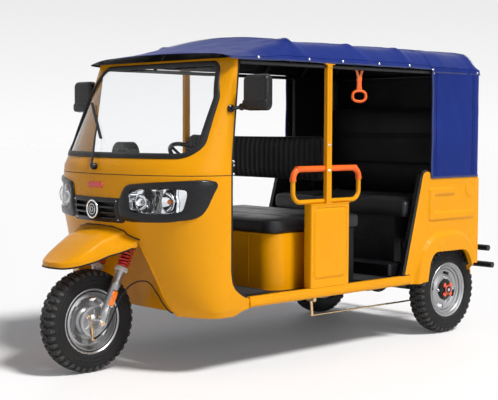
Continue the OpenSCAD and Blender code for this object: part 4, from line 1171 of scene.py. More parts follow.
def make_tyre(name, x, y, side, body, node):
    """The carcass with ribs on its walls, and rows of tread blocks."""
    place = wheel_place(x, y, side)
    carcass = Shape()
    profile = TYRE_PROFILE + [(r, -w) for r, w in TYRE_PROFILE[-2::-1]]
    carcass.spin([*profile, (156, -30), (156, 30)], 120, place)
    for ring_r, wall_w in ((181, 56.2), (204, 57.4), (226, 56.2)):
        for s in (-1, 1):
            section = [(ring_r + 1.1 * math.cos(a), s * wall_w + 1.1 * math.sin(a)) for a in turns(6)]
            carcass.spin(section, 120, place)
    blocks = Shape()
    step = 2 * math.pi / LUG_COUNT
    for start in turns(LUG_COUNT):
        for s in (-1, 1):
            a = start + (0.0 if s > 0 else step / 2)
            for outline in (OUTER_LUG, INNER_LUG):
                points = [(a + u * step, s * w) for u, w in outline]
                blocks.join(lug(255, TREAD_R, points), place)
            side = []
            for depth in (-2, 2):
                for u, v in SIDE_LUG:
                    r, w = mix(252, 240, v), mix(50.5, 55.5, v) + depth
                    side.append((r * math.cos(a + u * step), r * math.sin(a + u * step), s * w))
            blocks.join(Shape().grid([side[:4], side[4:]], around=True, caps=True), place)
    carcass.join(blocks)
    piece(name, carcass, "tyre", body, replaces=[node], crease=32)


def pressed_disc(rim, profile, count, window, share, place, sides=96, wall=5):
    """A dished disc from a profile of (radius, along), with a ring of windows between two radii."""
    low, high = window
    per = sides // count
    for sink in (0, wall):
        rows = [[(r * math.cos(a), r * math.sin(a), h - sink) for a in turns(sides)] for r, h in profile]
        faces = []
        for i in range(len(profile) - 1):
            open_row = low < (profile[i][0] + profile[i + 1][0]) / 2 < high
            for j in range(sides):
                if open_row and j % per < per * share:
                    continue
                n = (j + 1) % sides
                face = (i * sides + j, i * sides + n, (i + 1) * sides + n, (i + 1) * sides + j)
                faces.append(face[::-1] if sink else face)
        rim.add([place(p) for row in rows for p in row], faces)


def make_front_wheel():
    """The front tyre, and a rim with a slotted web, a hub and nuts on both sides."""
    make_tyre("front_tyre_tread", 0, 0, 1, "front_wheel", "front_tyre")
    place = wheel_place(0, 0, 1)
    rim = Shape()
    half = [(172, 48), (168, 49.5), (164, 47), (158, 42), (153, 40), (148, 30), (143, 22)]
    inside_half = [(140, 22), (146, 30), (151, 42), (160, 44), (168, 46)]
    barrel = half + [(r, -h) for r, h in half[::-1]] + [(r, -h) for r, h in inside_half[::-1]] + inside_half
    rim.spin(barrel, 120, place)
    disc = [(142, 12), (134, 16), (124, 19), (114, 15), (104, 6), (92, 2), (74, 4), (66, 12), (60, 16)]
    pressed_disc(rim, disc, 8, (102, 126), 0.42, place)
    hub = [(62, 10), (64, 30), (60, 40), (52, 46), (30, 48), (11, 48), (11, -48), (52, -46), (60, -40),
           (64, -10)]
    rim.spin(hub, 64, place)
    piece("front_rim_pressed", rim, "silver_paint", "front_wheel", replaces=["front_rim"])
    studs = Shape()
    for a in turns(5):
        for side in (1, -1):
            studs.bolt(place((46 * math.cos(a), 46 * math.sin(a), side * 46)), (0, side, 0), 7, 9)
    piece("front_wheel_nuts", studs, "steel", "front_wheel")


def in_fork(p):
    """A point drawn upright on the steering axis, in the vehicle's frame."""
    x, y, z = p
    return Vector((-STEER_OFFSET + x * math.cos(RAKE) - z * math.sin(RAKE), y,
                   TYRE_R + x * math.sin(RAKE) + z * math.cos(RAKE)))


def spring_path(y, per=22):
    """A coil spring's helix round a fork leg, a little closer wound at its ends."""
    low, high = SPRING_Z + SPRING_WIRE, CROWN_Z - 8 - SPRING_WIRE
    total = int(SPRING_TURNS * per)
    path = []
    for i in range(total + 1):
        a, t = 2 * math.pi * i / per, i / total
        z = mix(low, high, mix(t, 3 * t * t - 2 * t ** 3, 0.25))
        path.append(in_fork((LEG_X + SPRING_R * math.cos(a), y + SPRING_R * math.sin(a), z)))
    return path


LEG_X = 20
LEG_Y = 57 + 11 + 36
CROWN_Z = 440
SPRING_Z = 300
SPRING_R = 29
SPRING_WIRE = 5.6
SPRING_TURNS = 7.5
AXLE_IN_FORK = (STEER_OFFSET * math.cos(RAKE), -STEER_OFFSET * math.sin(RAKE))


def make_fork():
    """Fork legs with axle clamps, coil springs over dampers, reflectors and the crown."""
    legs, dampers, springs, collars, bolts, reflectors, brackets = (Shape() for _ in range(7))
    ax, az = AXLE_IN_FORK
    ahead, up = in_fork((1, 0, 0)) - in_fork((0, 0, 0)), in_fork((0, 0, 1)) - in_fork((0, 0, 0))
    leg = [(0.1, -42), (17, -42), (22, -38), (24, -32), (24, 30), (25.5, 34), (25.5, 52), (24, 56), (24, 190),
           (26, 194), (26, 214), (24, 218), (24, 262), (27, 270), (27, 276), (0.1, 276)]
    low_collar = [(0.1, 276), (34, 276), (35, 278), (35, 288), (33, 298), (30, SPRING_Z), (0.1, SPRING_Z)]
    high_collar = [(0.1, CROWN_Z - 8), (33, CROWN_Z - 8), (34, CROWN_Z - 4), (34, CROWN_Z), (0.1, CROWN_Z)]
    damper = [(0.1, SPRING_Z), (19, SPRING_Z), (19, 372), (17.5, 374), (11, 376), (11, CROWN_Z),
              (0.1, CROWN_Z)]
    for side in (1, -1):
        y = side * LEG_Y
        on_side = lambda u, v, d, s=side: in_fork((u, s * d, v))
        for shape, profile in ((legs, leg), (collars, low_collar), (collars, high_collar), (dampers, damper)):
            shape.spin(profile, 40, lambda p, y=y: in_fork((LEG_X + p[0], y + p[1], p[2])), closed=False)
        clamp = [(ax + 19 * math.cos(a), az + 19 * math.sin(a)) for a in turns(28)]
        legs.plate(clamp, on_side, LEG_Y - 26, LEG_Y + 27, 2)
        bolts.bolt(in_fork((ax, y + side * 27, az)), (0, side, 0), 11, 11)
        for z in (12, -18):
            bolts.bolt(in_fork((LEG_X + 22, y, z)), ahead, 5.5, 6)
        springs.tube(spring_path(y), SPRING_WIRE, 10)
        reflectors.plate(rounded_rect(LEG_X - 12, 84, LEG_X + 18, 164, 8), on_side, LEG_Y + 26, LEG_Y + 33, 2)
        for z in (88, 126):
            cell = rounded_rect(LEG_X - 9, z, LEG_X + 15, z + 34, 6)
            reflectors.plate(cell, on_side, LEG_Y + 32, LEG_Y + 35.5, 2)
        brackets.plate(rounded_rect(LEG_X - 15, 78, LEG_X + 21, 170, 6), on_side, LEG_Y + 22, LEG_Y + 26.5, 1)
    crown = rounded_rect(-26, -LEG_Y - 30, 50, LEG_Y + 30, 24)
    legs.plate(crown, lambda u, v, d: in_fork((u, v, d)), CROWN_Z, CROWN_Z + 22, 5)
    steerer = [(0.1, CROWN_Z + 10), (30, CROWN_Z + 10), (30, CROWN_Z + 34), (20, CROWN_Z + 40), (20, 754),
               (0.1, 754)]
    legs.spin(steerer, 40, in_fork, closed=False)
    for side in (1, -1):
        bolts.bolt(in_fork((LEG_X, side * LEG_Y, CROWN_Z + 22)), up, 13, 8)
    piece("fork_legs", legs, "silver_paint", "front_fork", replaces=["fork"])
    piece("fork_dampers", dampers, "black_steel", "front_fork")
    piece("fork_coils", springs, "red_paint", "front_fork", replaces=["fork_springs"])
    piece("fork_collars", collars, "white_nylon", "front_fork")
    piece("fork_bolts", bolts, "gold_zinc", "front_fork")
    piece("fork_reflectors", reflectors, "amber", "front_fork")
    piece("fork_reflector_brackets", brackets, "steel", "front_fork")


def make_front_brake():
    """Brake plate, lever and the lever's nut beside the front wheel."""
    place = wheel_place(0, 0, 1)
    plate, lever, bolts = Shape(), Shape(), Shape()
    plate.spin([(11, 54), (83, 54), (83, 60), (80, 65), (70, 66), (62, 63), (40, 63), (32, 70), (24, 76),
                (22, 79), (11, 79)], 72, place)
    for k in range(6):
        a = math.radians(30 + 60 * k)
        plate.tube([place((r * math.cos(a), r * math.sin(a), 62)) for r in (36, 76)], 3.5, 8)
    piece("front_brake_drum_plate", plate, "silver_paint", "front_fork", replaces=["brake_plate"], crease=30)
    x0, z0 = 24, 22
    lever.spin([(0.1, 0), (12, 0), (12, 14), (10, 18), (0.1, 18)], 24,
               lambda p: place((x0 + p[0], z0 + p[1], 62 + p[2])), closed=False)
    arm = rounded_outline([(-8, -12), (8, -12), (6, 100), (9, 118), (-9, 118), (-6, 100)], 6)
    turn = math.radians(5)

    def lay(u, v, d):
        return place((x0 - v * math.sin(turn) + u * math.cos(turn),
                      z0 - v * math.cos(turn) - u * math.sin(turn), d))

    lever.plate(arm, lay, 68, 75.5, 1.5)
    piece("front_brake_lever", lever, "gold_zinc", "front_fork")
    bolts.bolt(place((x0, z0, 80)), (0, 1, 0), 6, 6)
    piece("front_brake_lever_nut", bolts, "steel", "front_fork")


CABLE_ROUTE = [
    (10, 80, 184), (-10, 98, 205), (-40, 132, 258), (-62, 150, 320), (-80, 168, 382), (-104, 196, 440),
    (-128, 226, 474), (-155, 260, 487), (-183, 292, 477), (-208, 324, 422), (-232, 352, 362),
    (-252, 374, 331), (-274, 382, 324), (-294, 387, 318),
]


def make_brake_cable():
    """The front brake's cable, held at the brake lever and in the nose."""
    path = smooth_path(CABLE_ROUTE, 6)
    # The end at the lever runs in a thicker sleeve
    cable = Shape().tube(path, 3.9, 12).tube(path[:7], 5.2, 12)
    obj = piece("front_brake_cable_line", cable, "rubber", body=None, replaces=["front_brake_cable"])
    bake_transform(obj)


# ---- rear wheels ----

def make_rear_wheels():
    """Each rear wheel's tyre, slotted rim, hub cover with a spider, and nuts."""
    for side, word in ((1, "left"), (-1, "right")):
        y = side * REAR_WHEEL_Y
        body = "rear_wheel_" + word
        make_tyre("rear_tyre_tread_" + word, REAR_X, y, side, body, "rear_tyre_" + word)
        place = wheel_place(REAR_X, y, side)
        rim, hub, spider, nuts = Shape(), Shape(), Shape(), Shape()
        barrel = [(171, 47), (168, 49.5), (164, 48), (160, 42), (152, 39), (147, 33), (146, 22), (136, 17),
                  (131, 8), (131, -30), (150, -38), (158, -42), (164, -47), (168, -49.5), (171, -47),
                  (167, -45), (158, -40), (128, -30), (127, 6), (132, 20), (142, 25), (143, 35), (149, 42),
                  (158, 45), (165, 50)]
        rim.spin(barrel, 120, place)
        disc = [(133, 14), (128, 19), (122, 21), (114, 18), (104, 12), (96, 14), (86, 22), (76, 25), (56, 25)]
        pressed_disc(rim, disc, 4, (98, 118), 0.3, place)
        cover = [(0.1, 24), (60, 24), (60, 32), (56, 38), (44, 42), (36, 46), (34, 54), (30, 56), (0.1, 56)]
        hub.spin(cover, 48, place, closed=False)
        hub.spin([(66, 25), (66, 29), (56, 29), (56, 25)], 48, place)
        spider.spin([(24, 46), (31, 46), (31, 54), (28, 57), (24, 57)], 40, place)
        arm = rounded_outline([(22, -10), (48, -13), (50, 13), (22, 10)], 4)
        for k in range(4):
            c, s = math.cos(math.radians(45 + 90 * k)), math.sin(math.radians(45 + 90 * k))
            turned = [(u * c - v * s, u * s + v * c) for u, v in arm]
            spider.plate(turned, lambda u, v, d: place((u, v, d)), 46, 54, 2)
        for a in turns(4):
            nuts.bolt(place((72 * math.cos(a), 72 * math.sin(a), 25)), (0, side, 0), 8, 12)
        nuts.bolt(place((0, 0, 54)), (0, side, 0), 11, 6)
        piece("rear_rim_pressed_" + word, rim, "silver_paint", body, replaces=["rear_rim_" + word])
        piece("rear_hub_cover_" + word, hub, "black_steel", body)
        piece("rear_hub_spider_" + word, spider, "orange_paint", body)
        piece("rear_wheel_nuts_" + word, nuts, "steel", body)


# ---- lower body ----
# Outlines ahead of the rear axle and above the ground: the wheel's opening, and the rear side panel
ARCH = [
    (310, 200), (288, 360), (268, 466), (240, 508), (205, 529), (-76, 527), (-115, 506), (-150, 450),
    (-172, 380), (-200, 200),
]
ARCH_RADII = [1, 10, 60, 40, 40, 40, 40, 60, 20, 1]
QUARTER = [
    (479, 406), (313, 1013), (252, 1013), (242, 972), (-247, 972), (-247, 421), (-168, 433), (-172, 345),
    (430, 345), (430, 406),
]
QUARTER_RADII = [10, 40, 26, 8, 26, 20, 12, 10, 10, 10]


def distance_to(points, u, v):
    """Distance from a place to an open line of points."""
    best = 1e9
    for (x0, y0), (x1, y1) in zip(points, points[1:]):
        dx, dy = x1 - x0, y1 - y0
        t = max(0.0, min(1.0, ((u - x0) * dx + (v - y0) * dy) / (dx * dx + dy * dy)))
        best = min(best, math.hypot(u - x0 - t * dx, v - y0 - t * dy))
    return best


FLARE_RIDGE = [
    (372, 340), (352, 440), (330, 487), (301, 531), (259, 575), (206, 604), (150, 616), (60, 619), (-12, 614),
    (-68, 601), (-125, 562), (-173, 507), (-196, 457), (-204, 420),
]


def inside(points, u, v):
    """Whether a place lies within a closed outline."""
    hit = False
    for (x0, y0), (x1, y1) in zip(points, points[1:] + points[:1]):
        if (y0 > v) != (y1 > v) and u < x0 + (v - y0) / (y1 - y0) * (x1 - x0):
            hit = not hit
    return hit


PRESSING = rounded_outline([(265, 712), (265, 916), (5, 916), (5, 866), (210, 866), (210, 768), (-190, 768),
                            (-190, 712)], 14, 4)
PRESSING += PRESSING[:1]


def quarter_height(u, z):
    """How far the rear panel stands out at a place behind or ahead of the rear axle."""
    from_ridge = distance_to(FLARE_RIDGE, u, z)
    out = 25.0 if inside(FLARE_RIDGE, u, z) else 25.0 * (1 - step_up(from_ridge, 2, 32))
    if u < -205:
        out *= 1 - step_up(-u, 215, 240)
    if 700 < z < 930 and -205 < u < 280:
        out += 10 * (step_up(distance_to(PRESSING, u, z), 0, 10) if inside(PRESSING, u, z) else 0)
    return out


def make_quarters():
    """Pressed rear side panels with a bulged wheel arch and two raised bars joined at their front ends."""
    us = [mix(-247, 481, k / 140) for k in range(141)]
    zs = levels(345, 1014, 5.2)
    outer = [[(REAR_X + u, HALF_W + quarter_height(u, z), z) for u in us] for z in zs]
    inner = [[(REAR_X + u, HALF_W - 26 + min(20, quarter_height(u, z)), z) for u in us] for z in zs]
    shape = Shape().between(outer, inner)
    edge = rounded_outline([(REAR_X + u, z) for u, z in QUARTER[::-1]], QUARTER_RADII[::-1])
    arch = rounded_outline([(REAR_X + u, z) for u, z in ARCH], ARCH_RADII)
    for side, word in ((1, "left"), (-1, "right")):
        half = Shape().add([(x, side * y, z) for x, y, z in shape.verts], shape.faces)
        panel = piece("quarter_skin_" + word, half, "yellow_paint", replaces=["quarter_panels"], crease=55)
        low, high = sorted((side * (HALF_W - 60), side * (HALF_W + 60)))
        cut(panel, along_y(edge, low, high), "INTERSECT", 55)
        cut(panel, along_y(arch, low, high), crease=55)
        panel.data.materials.append(MATERIALS["dark_vinyl"])
        for face in panel.data.polygons:
            inward = face.normal.y * side < 0.3 and abs(face.center.y) * 1000 < HALF_W - 4
            if inward and not (face.normal.y * side > -0.3 and face.center.z < 0.6):
                face.material_index = 1
    path = [(x, HALF_W + quarter_height(x - REAR_X, z) - 3, z) for x, z in arch
            if z > 346 and x > QUARTER_BACK_X + 70]
    piece("wheel_arch_lips", Shape().tube(path, 4, 8), "yellow_paint", both=True)
    profile = [(0.1, -6), (52, -6), (54, 0), (52, 2.5), (44, 3), (42, 1.5), (40, 3), (0.1, 3.5)]
    cap = Shape().spin(profile, 56, lambda p: Vector((REAR_X - 158 + p[0], HALF_W + p[2], 898 + p[1])),
                       closed=False)
    piece("filler_caps", cap, "yellow_paint", crease=30, both=True)


def make_trims():
    """Black rubber along the rear door opening, up the panel's sloping edge."""
    path = [(-1880, 405), (-1862, 405), (-1852, 416), (-2002, 950), (-2013, 990), (-2027, 1007),
            (-2048, 1012), (-2066, 1006), (-2078, 988), (-2087, 974)]
    path = smooth_path(path, 4)
    section = [(-12, -15), (-4, -17), (4, -15), (7, -8), (7, 12), (-12, 12)]
    strip = Shape().sweep([(x + 9, HALF_W - 14, z + 1) for x, z in path], section, side=(0, 1, 0))
    piece("door_opening_rubber", strip, "black_plastic", replaces=["quarter_trims"], both=True)


SIDE_BOX = (-1353, -1042)


def make_side_boxes():
    """Front face, side face with a pressed frame, and a flanged top for each side box."""
    low, high = SIDE_BOX
    bodies = Shape()
    us = [mix(low, high, k / 78) for k in range(79)]
    zs = levels(401, 858, 4)
    frame_line = rounded_rect(low + 26, 446, high - 26, 834, 22, 8)
    line = frame_line + frame_line[:1]

    def height(u, z):
        d = distance_to(line, u, z)
        groove = -5.0 * math.exp(-((d / 4.2) ** 2))
        pillow = 2.2 * step_up(d, 3, 16) if inside(frame_line, u, z) else 0
        corner = min(u - low, high - u)
        return groove + pillow - 6 * (1 - math.sqrt(max(0, 1 - max(0, 1 - corner / 8) ** 2)))

    outer = [[(u, HALF_W + height(u, z), z) for u in us] for z in zs]
    inner = [[(u, HALF_W - 50, z) for u in us] for z in zs]
    bodies.between(outer, inner)
    piece("side_box_panels", bodies, "yellow_paint", replaces=["side_boxes"], crease=40, both=True)
    cap = Shape()
    outline = rounded_rect(low - 3, HALF_W - 52, high + 3, HALF_W + 3, 8)
    cap.plate(outline, lay_flat, 856, 861, 2)
    for x in (low + 6, high - 6):
        cap.tube([(x, HALF_W - 48, 430), (x, HALF_W - 48, 850)], 4, 8)
    piece("side_box_caps", cap, "yellow_paint", both=True)


def make_sills():
    """The long pressed sill with its shelf, from the cab to the rear panel."""
    section = [(-27, 345), (-27, 400), (-2, 400), (1.5, 396), (0, 388), (0, 384), (3, 380), (3.5, 362),
               (0, 350), (-6, 345)]
    ends = CAB_X - 140, REAR_X + 432
    rows = [[(mix(*ends, k / 40), HALF_W + a, z) for a, z in section] for k in range(41)]
    sill = piece("sill_pressing", Shape().grid(rows, around=True, caps=True), "yellow_paint",
                 replaces=["sills"], both=True)
    modify(sill, "BEVEL", width=0.0015, segments=2, limit_method="ANGLE", angle_limit=math.radians(40))
    shade(sill, 35)


def make_floor():
    """Ribbed black mat over the floor, the step below the bench and the board behind it."""
    low = box_mm("bench_backrest")[0]
    board = Shape().slab((low.x + 2, low.x + 6), (-540, 540), (low.z - 90, low.z + 60))
    piece("bench_back_board", board, "dark_vinyl")
    edge, ribs = HALF_W - 34, 60
    points = []
    for k in range(ribs):
        y0, y1 = mix(-edge, edge, k / ribs), mix(-edge, edge, (k + 1) / ribs)
        points += [(mix(y0, y1, share), FLOOR_Z + h) for share, h in ((0, 4), (0.15, 6), (0.6, 6), (0.75, 4))]
    outline = [(edge, FLOOR_Z + 0.5), *points[::-1], (-edge, FLOOR_Z + 0.5)]
    rows = [[(x, y, z) for y, z in outline] for x in (-1545, -1950)]
    piece("floor_mat_rear", Shape().grid(rows, around=True, caps=True), "floor_mat")
    front = Shape()
    outline = rounded_rect(-865, -470, -480, 470, 30)
    front.plate(outline, lay_flat, FLOOR_Z + 0.5, FLOOR_Z + 6, 3)
    for k in range(28):
        y = mix(-440, 440, k / 27)
        front.tube([(-850, y, FLOOR_Z + 5.5), (-500, y, FLOOR_Z + 5.5)], 2.5, 6)
    piece("floor_mat_front", front, "floor_mat")
    outline = rounded_rect(-1950, -HALF_W + 55, -1770, HALF_W - 55, 14)
    plinth = Shape().plate(outline, lay_flat, FLOOR_Z + 1, 470, 8, 4)
    piece("bench_step", plinth, "black_plastic")


# ---- roof ----

BOWS = [-929, -1425, -1850, REAR_X + 124, REAR_X - 190]
# Where folds start, in X and Y, their direction and their height
CANOPY_FOLDS = [
    (-929, 515, 0.9, 9.0), (-929, 515, 2.35, 8.0), (-1425, 520, 2.0, 7.0), (-1425, 520, 0.8, 6.0),
    (-1850, 520, 1.15, 6.0), (-1850, 520, 2.2, 5.0), (REAR_X - 190, 515, 1.9, 5.0),
]
# Distance ahead of the front axle, edge inset, edge drop, shoulder height and crown height over the roof edge
CANOPY = [
    (-460, 20, 0, 26, 36), (-528, 1, 4, 42, 58), (-929, 0, 0, 120, 150), (-2490, 0, 0, 120, 150),
    (-2530, 0, 0, 118, 148), (-2556, 1, 0, 108, 135), (-2574, 4, 0, 86, 110), (-2585, 14, 0, 40, 60),
]


def canopy_section(x, count):
    """Points over the roof at a place along it, from the right hem to the left, evenly spaced."""
    inset_y, drop, shoulder, crown = row_at(x, CANOPY)
    edge = HALF_W - inset_y
    low = ROOF_EDGE_Z - drop
    shoulder_y = 504 - 0.12 * max(0, 120 - shoulder)
    hem = Vector((edge + 2, low - mix(4, 24, step_up(-x, 2070, 2105))))
    foot, middle = Vector((edge + 1, low + 4)), Vector((0, low + crown))
    turn = Vector((shoulder_y, low + shoulder))
    reach = 70
    a = turn + (foot - turn).normalized() * min(reach, 0.8 * (foot - turn).length)
    b = turn + (middle - turn).normalized() * reach * 1.6
    line = [hem, foot]
    for k in range(13):
        t = k / 12
        line.append(a * (1 - t) ** 2 + turn * 2 * t * (1 - t) + b * t * t)
    for k in range(1, 13):
        t = k / 12
        line.append(Vector((b.x * (1 - t), b.y + (middle.y - b.y) * (1 - (1 - t) ** 2))))
    pts = np.array([(p.x, p.y) for p in line])
    run = np.concatenate([[0], np.cumsum(np.hypot(*np.diff(pts, axis=0).T))])
    wanted = np.linspace(0, run[-1], count)
    ys, zs = np.interp(wanted, run, pts[:, 0]), np.interp(wanted, run, pts[:, 1])
    left = list(zip(ys, zs))
    return [(-y, z) for y, z in left][:-1] + left[::-1]


def between_bows(x):
    """0 over a bow and 1 half way to the next."""
    marks = [-455, *BOWS, -2590]
    for a, b in zip(marks, marks[1:]):
        if b <= x <= a:
            t = (a - x) / (a - b)
            return math.sin(math.pi * t)
    return 0.0


def canopy_rise(x, y, share):
    """Sag between the bows, and the folds where the cloth is pulled to its corners and studs."""
    slack = between_bows(x)
    on_top = 1 - step_up(abs(y), 470, 540)
    out = -7.0 * slack * (0.35 + 0.65 * on_top)
    side_part = max(0.0, min(1.0, (share - 0.02) / 0.27))
    full = step_up(-x, 560, 900) * (1 - step_up(-x, 2500, 2580))
    out += 15 * math.sin(math.pi * side_part) * (1 - 0.45 * slack) * full
    for bx, by, way, size in CANOPY_FOLDS:
        dx, dy = x - bx, abs(y) - by
        along = dx * math.cos(way) - dy * math.sin(way)
        across = dx * math.sin(way) + dy * math.cos(way)
        if along > -400:
            out += size * math.exp(-(across / 26) ** 2) * math.exp(-abs(along) / 150) * (1 if y > 0 else 0.8)
    out += 3.2 * soft_noise(x, y * 1.4, 3.0, 0.0042) * (0.4 + slack)
    out += 1.6 * soft_noise(x * 1.5, y, 9.0, 0.011) * (0.3 + slack)
    near_edge = 1 - step_up(share, 0.0, 0.12)
    out += near_edge * 2.5 * math.sin(x * 0.021) * math.sin(x * 0.0073 + 1)
    return out


def make_canopy():
    """One curved sheet over the bows, with a bound hem, studs and a rear overlap."""
    xs = [mix(-462, -929, k / 36) for k in range(36)] + [mix(-929, -2490, k / 110) for k in range(110)]
    xs += [mix(-2490, -2585, k / 22) for k in range(23)]
    count = 66
    rows = []
    for x in xs:
        section = canopy_section(x, count)
        row = []
        last = len(section) - 1
        for j, (y, z) in enumerate(section):
            share = min(j, last - j) / (count - 1)
            a, b = section[max(0, j - 1)], section[min(last, j + 1)]
            normal = Vector((-(b[1] - a[1]), b[0] - a[0])).normalized()
            rise = canopy_rise(x, y, share)
            row.append((x, y + normal.x * rise, z + normal.y * rise))
        rows.append(row)
    shell = Shape().grid(rows)
    back = [rows[-1]]
    for k in range(1, 7):
        t = k / 6
        back.append([(x - 2.5 * math.sin(t * math.pi / 2), mix(y, y * 0.985, t),
                      mix(z, min(z, ROOF_EDGE_Z - 12 + 18 * (1 - t)), t)) for x, y, z in rows[-1]])
    shell.grid(back)
    roof = piece("canopy_sheet", shell, "blue_canvas", replaces=["canopy"], crease=60)
    line_cloth(roof)

    binding, studs, seams = Shape(), Shape(), Shape()
    for side in (0, -1):
        path = [Vector(row[side]) for row in rows]
        tape = [(-3.2, -4.5), (3.2, -4.5), (3.2, 4.5), (-3.2, 4.5)]
        binding.sweep([p + Vector((0, 0, 3)) for p in path], tape, side=(0, 0, 1))
        sign = 1 if path[0].y > 0 else -1
        for x in (-640, -1010, -1290, -1590, -1860, -2095, -2540):
            p = min(path, key=lambda q, x=x: abs(q.x - x))
            studs.stud(p + Vector((0, sign * 2, 13)), (0, sign, 0), 7.5)
        line = [Vector(row[3 if side == 0 else -4]) for row in rows[::2]]
        seams.tube([p + Vector((0, sign * 1.4, 0.6)) for p in line], 1.0, 6)
    for x in (BOWS[0], -2098, BOWS[-1]):
        row = min(rows, key=lambda r, x=x: abs(r[0][0] - x))
        for dx in (-8, 8):
            seams.tube([Vector(p) + Vector((dx, 0, 0.8)) for p in row[::2]], 0.9, 6)
    edging = piece("canopy_binding", binding, "blue_binding")
    stitches = piece("canopy_seams", seams, "blue_canvas")
    rivets = piece("canopy_studs", studs, "steel")


# About the curtain's length round its two sides and the back
CURTAIN_RUN = 2174


def make_curtain():
    """The rear curtain: one sheet round the back, hung from the rails, with bound edges and press studs."""
    low, high, front, back, corner = 972.3, 1619.7, -2090, -2585, 42
    path = [(mix(front, back + corner, k / 46), HALF_W) for k in range(46)]
    path += arc(back + corner, HALF_W - corner, corner, 90, 180, 10)
    path += [(back, mix(HALF_W - corner, 0, k / 40)) for k in range(1, 41)]
    path += [(x, -y) for x, y in path[:-1][::-1]]
    normals = []
    for i in range(len(path)):
        a, b = Vector(path[max(0, i - 1)]), Vector(path[min(len(path) - 1, i + 1)])
        d = (b - a).normalized()
        normals.append(Vector((-d.y, d.x)))
    rows = []
    run = 0.0
    for i, (x, y) in enumerate(path):
        if i:
            run += math.hypot(x - path[i - 1][0], y - path[i - 1][1])
        side_run = min(run, CURTAIN_RUN - run)
        row = []
        for k in range(61):
            t = k / 60
            z = mix(low, high, t)
            out = -3.4 + 3.0 * soft_noise(run * 0.8, z * 0.45, 1.5, 0.006) * math.sin(math.pi * t)
            out += 2.2 * soft_noise(run + z * 0.6, z * 0.4, 5.0, 0.012) * math.sin(math.pi * min(1, t * 1.05))
            out += 2.4 * math.exp(-((side_run - 14 + 26 * abs(t - 0.5)) / 12) ** 2) * math.sin(9 * t)
            if i < 3 or i > len(path) - 4:
                out += 1.2 * math.sin(z * 0.024)
            n = normals[i]
            shift = -4.0 * math.sin(math.pi * (t * 2 % 1.0)) ** 2 if i in (0, len(path) - 1) else 0
            row.append((x + n.x * out + shift, y + n.y * out, z))
        rows.append(row)
    shell = Shape().grid(rows)
    cloth = piece("rear_curtain_sheet", shell, "blue_canvas", replaces=["rear_curtain"], crease=60)
    line_cloth(cloth)
    binding, studs, seams = Shape(), Shape(), Shape()
    strip = [(-3, -7), (3, -7), (3, 7), (-3, 7)]
    for i in (0, -1):
        binding.sweep([Vector(p) for p in rows[i]], strip, side=(1, 0, 0))
    binding.sweep([Vector(row[0]) + Vector((0, 0, 5)) for row in rows], [(-3, -6), (3, -6), (3, 6), (-3, 6)],
                  side=(0, 0, 1))
    for i in (4, -5, 41, 43, -42, -44):
        seams.tube([Vector(p) + Vector((0, 1.6 if p[1] > 0 else -1.6, 0)) for p in rows[i][::2]], 0.9, 6)
    for k in (4, 56):
        line = [Vector(row[k]) + Vector((n.x, n.y, 0)) * 1.8 for row, n in zip(rows, normals)]
        seams.tube(line[::2], 0.9, 6)
    front_studs = [(front - 16, z) for z in (high - 14, 1296, low + 14)]
    for side in (1, -1):
        for x, z in (*front_studs, (-2520, low + 14), (-2300, low + 14)):
            studs.stud((x, side * (HALF_W - 1), z), (0, side, 0), 7)
    for y in (-420, -140, 140, 420):
        studs.stud((back + 1, y, low + 14), (-1, 0, 0), 7)
    edging = piece("curtain_binding", binding, "blue_binding")
    stitches = piece("curtain_seams", seams, "blue_canvas")
    rivets = piece("curtain_studs", studs, "steel")


def make_posts():
    """Door posts of folded channel with chrome bolts, and the black tubes behind the curtain."""
    posts, tubes = Shape(), Shape()
    section = [(-1205, 590), (-1165, 590), (-1165, 613), (-1167, 615), (-1178, 615), (-1179.5, 613),
               (-1182, 613), (-1183.5, 615), (-1203, 615), (-1205, 613)]
    posts.grid([[(u, v, z) for u, v in section] for z in (860, 1604)], around=True, caps=True)
    posts.slab((-1205, -1165), (606, 615), (1600, 1624))
    posts.slab((-1224, -1146), (604, 616), (1620, 1625))
    for x in (-2135, -2532):
        tubes.tube([(x, 592, 975), (x, 592, 1601)], 12.5, 18)
    tubes.slab((-1200, -1172), (566, 591), (1132, 1188))
    piece("door_posts", posts, "yellow_paint", replaces=["roof_posts"], both=True)
    piece("rear_roof_tubes", tubes, "black_steel", both=True)
    bolts = Shape()
    screws = Shape()
    for side in (1, -1):
        for z in (1042, 1182):
            bolts.bolt((-1185, side * (HALF_W - 1), z), (0, side, 0), 6.5, 6)
        for z in (1040, 1085, 1104):
            screws.bolt((CAB_X - 22, side * (HALF_W - 3), z), (0, side, 0), 5, 5)
    piece("post_bolts", bolts, "steel")
    piece("pillar_screws", screws, "steel")


def make_handrails():
    """A bent steel loop on each side with a soft orange grip over its top."""
    x0, x1, z0, z1, r = -1455, -925, 873, 1052, 55
    y = 589
    loop = rounded_rect(x0, z0, x1, z1, r, 10)
    rails, grips = Shape(), Shape()
    rails.tube([(u, y, v) for u, v in loop], 13, 20, closed=True)
    top = arc(x1 - r, z1 - r, r, -8, 90, 14) + arc(x0 + r, z1 - r, r, 90, 188, 14)
    path = smooth_path([(u, y, v) for u, v in top], 2)
    # Swells a little near each end
    from_end = [min(i, len(path) - 1 - i) for i in range(len(path))]
    grips.tube(path, [16.6 + 1.6 * math.exp(-((i - 1.5) / 1.6) ** 2) for i in from_end], 22)
    for p in (path[0], path[-1]):
        grips.tube([p + Vector((0, 0, -2)), p + Vector((0, 0, 3))], 18.2, 22)
    piece("handrail_tubes", rails, "yellow_paint", replaces=["handrails"], both=True)
    piece("handrail_sleeves", grips, "orange_plastic", replaces=["handrail_grips"], crease=50, both=True)


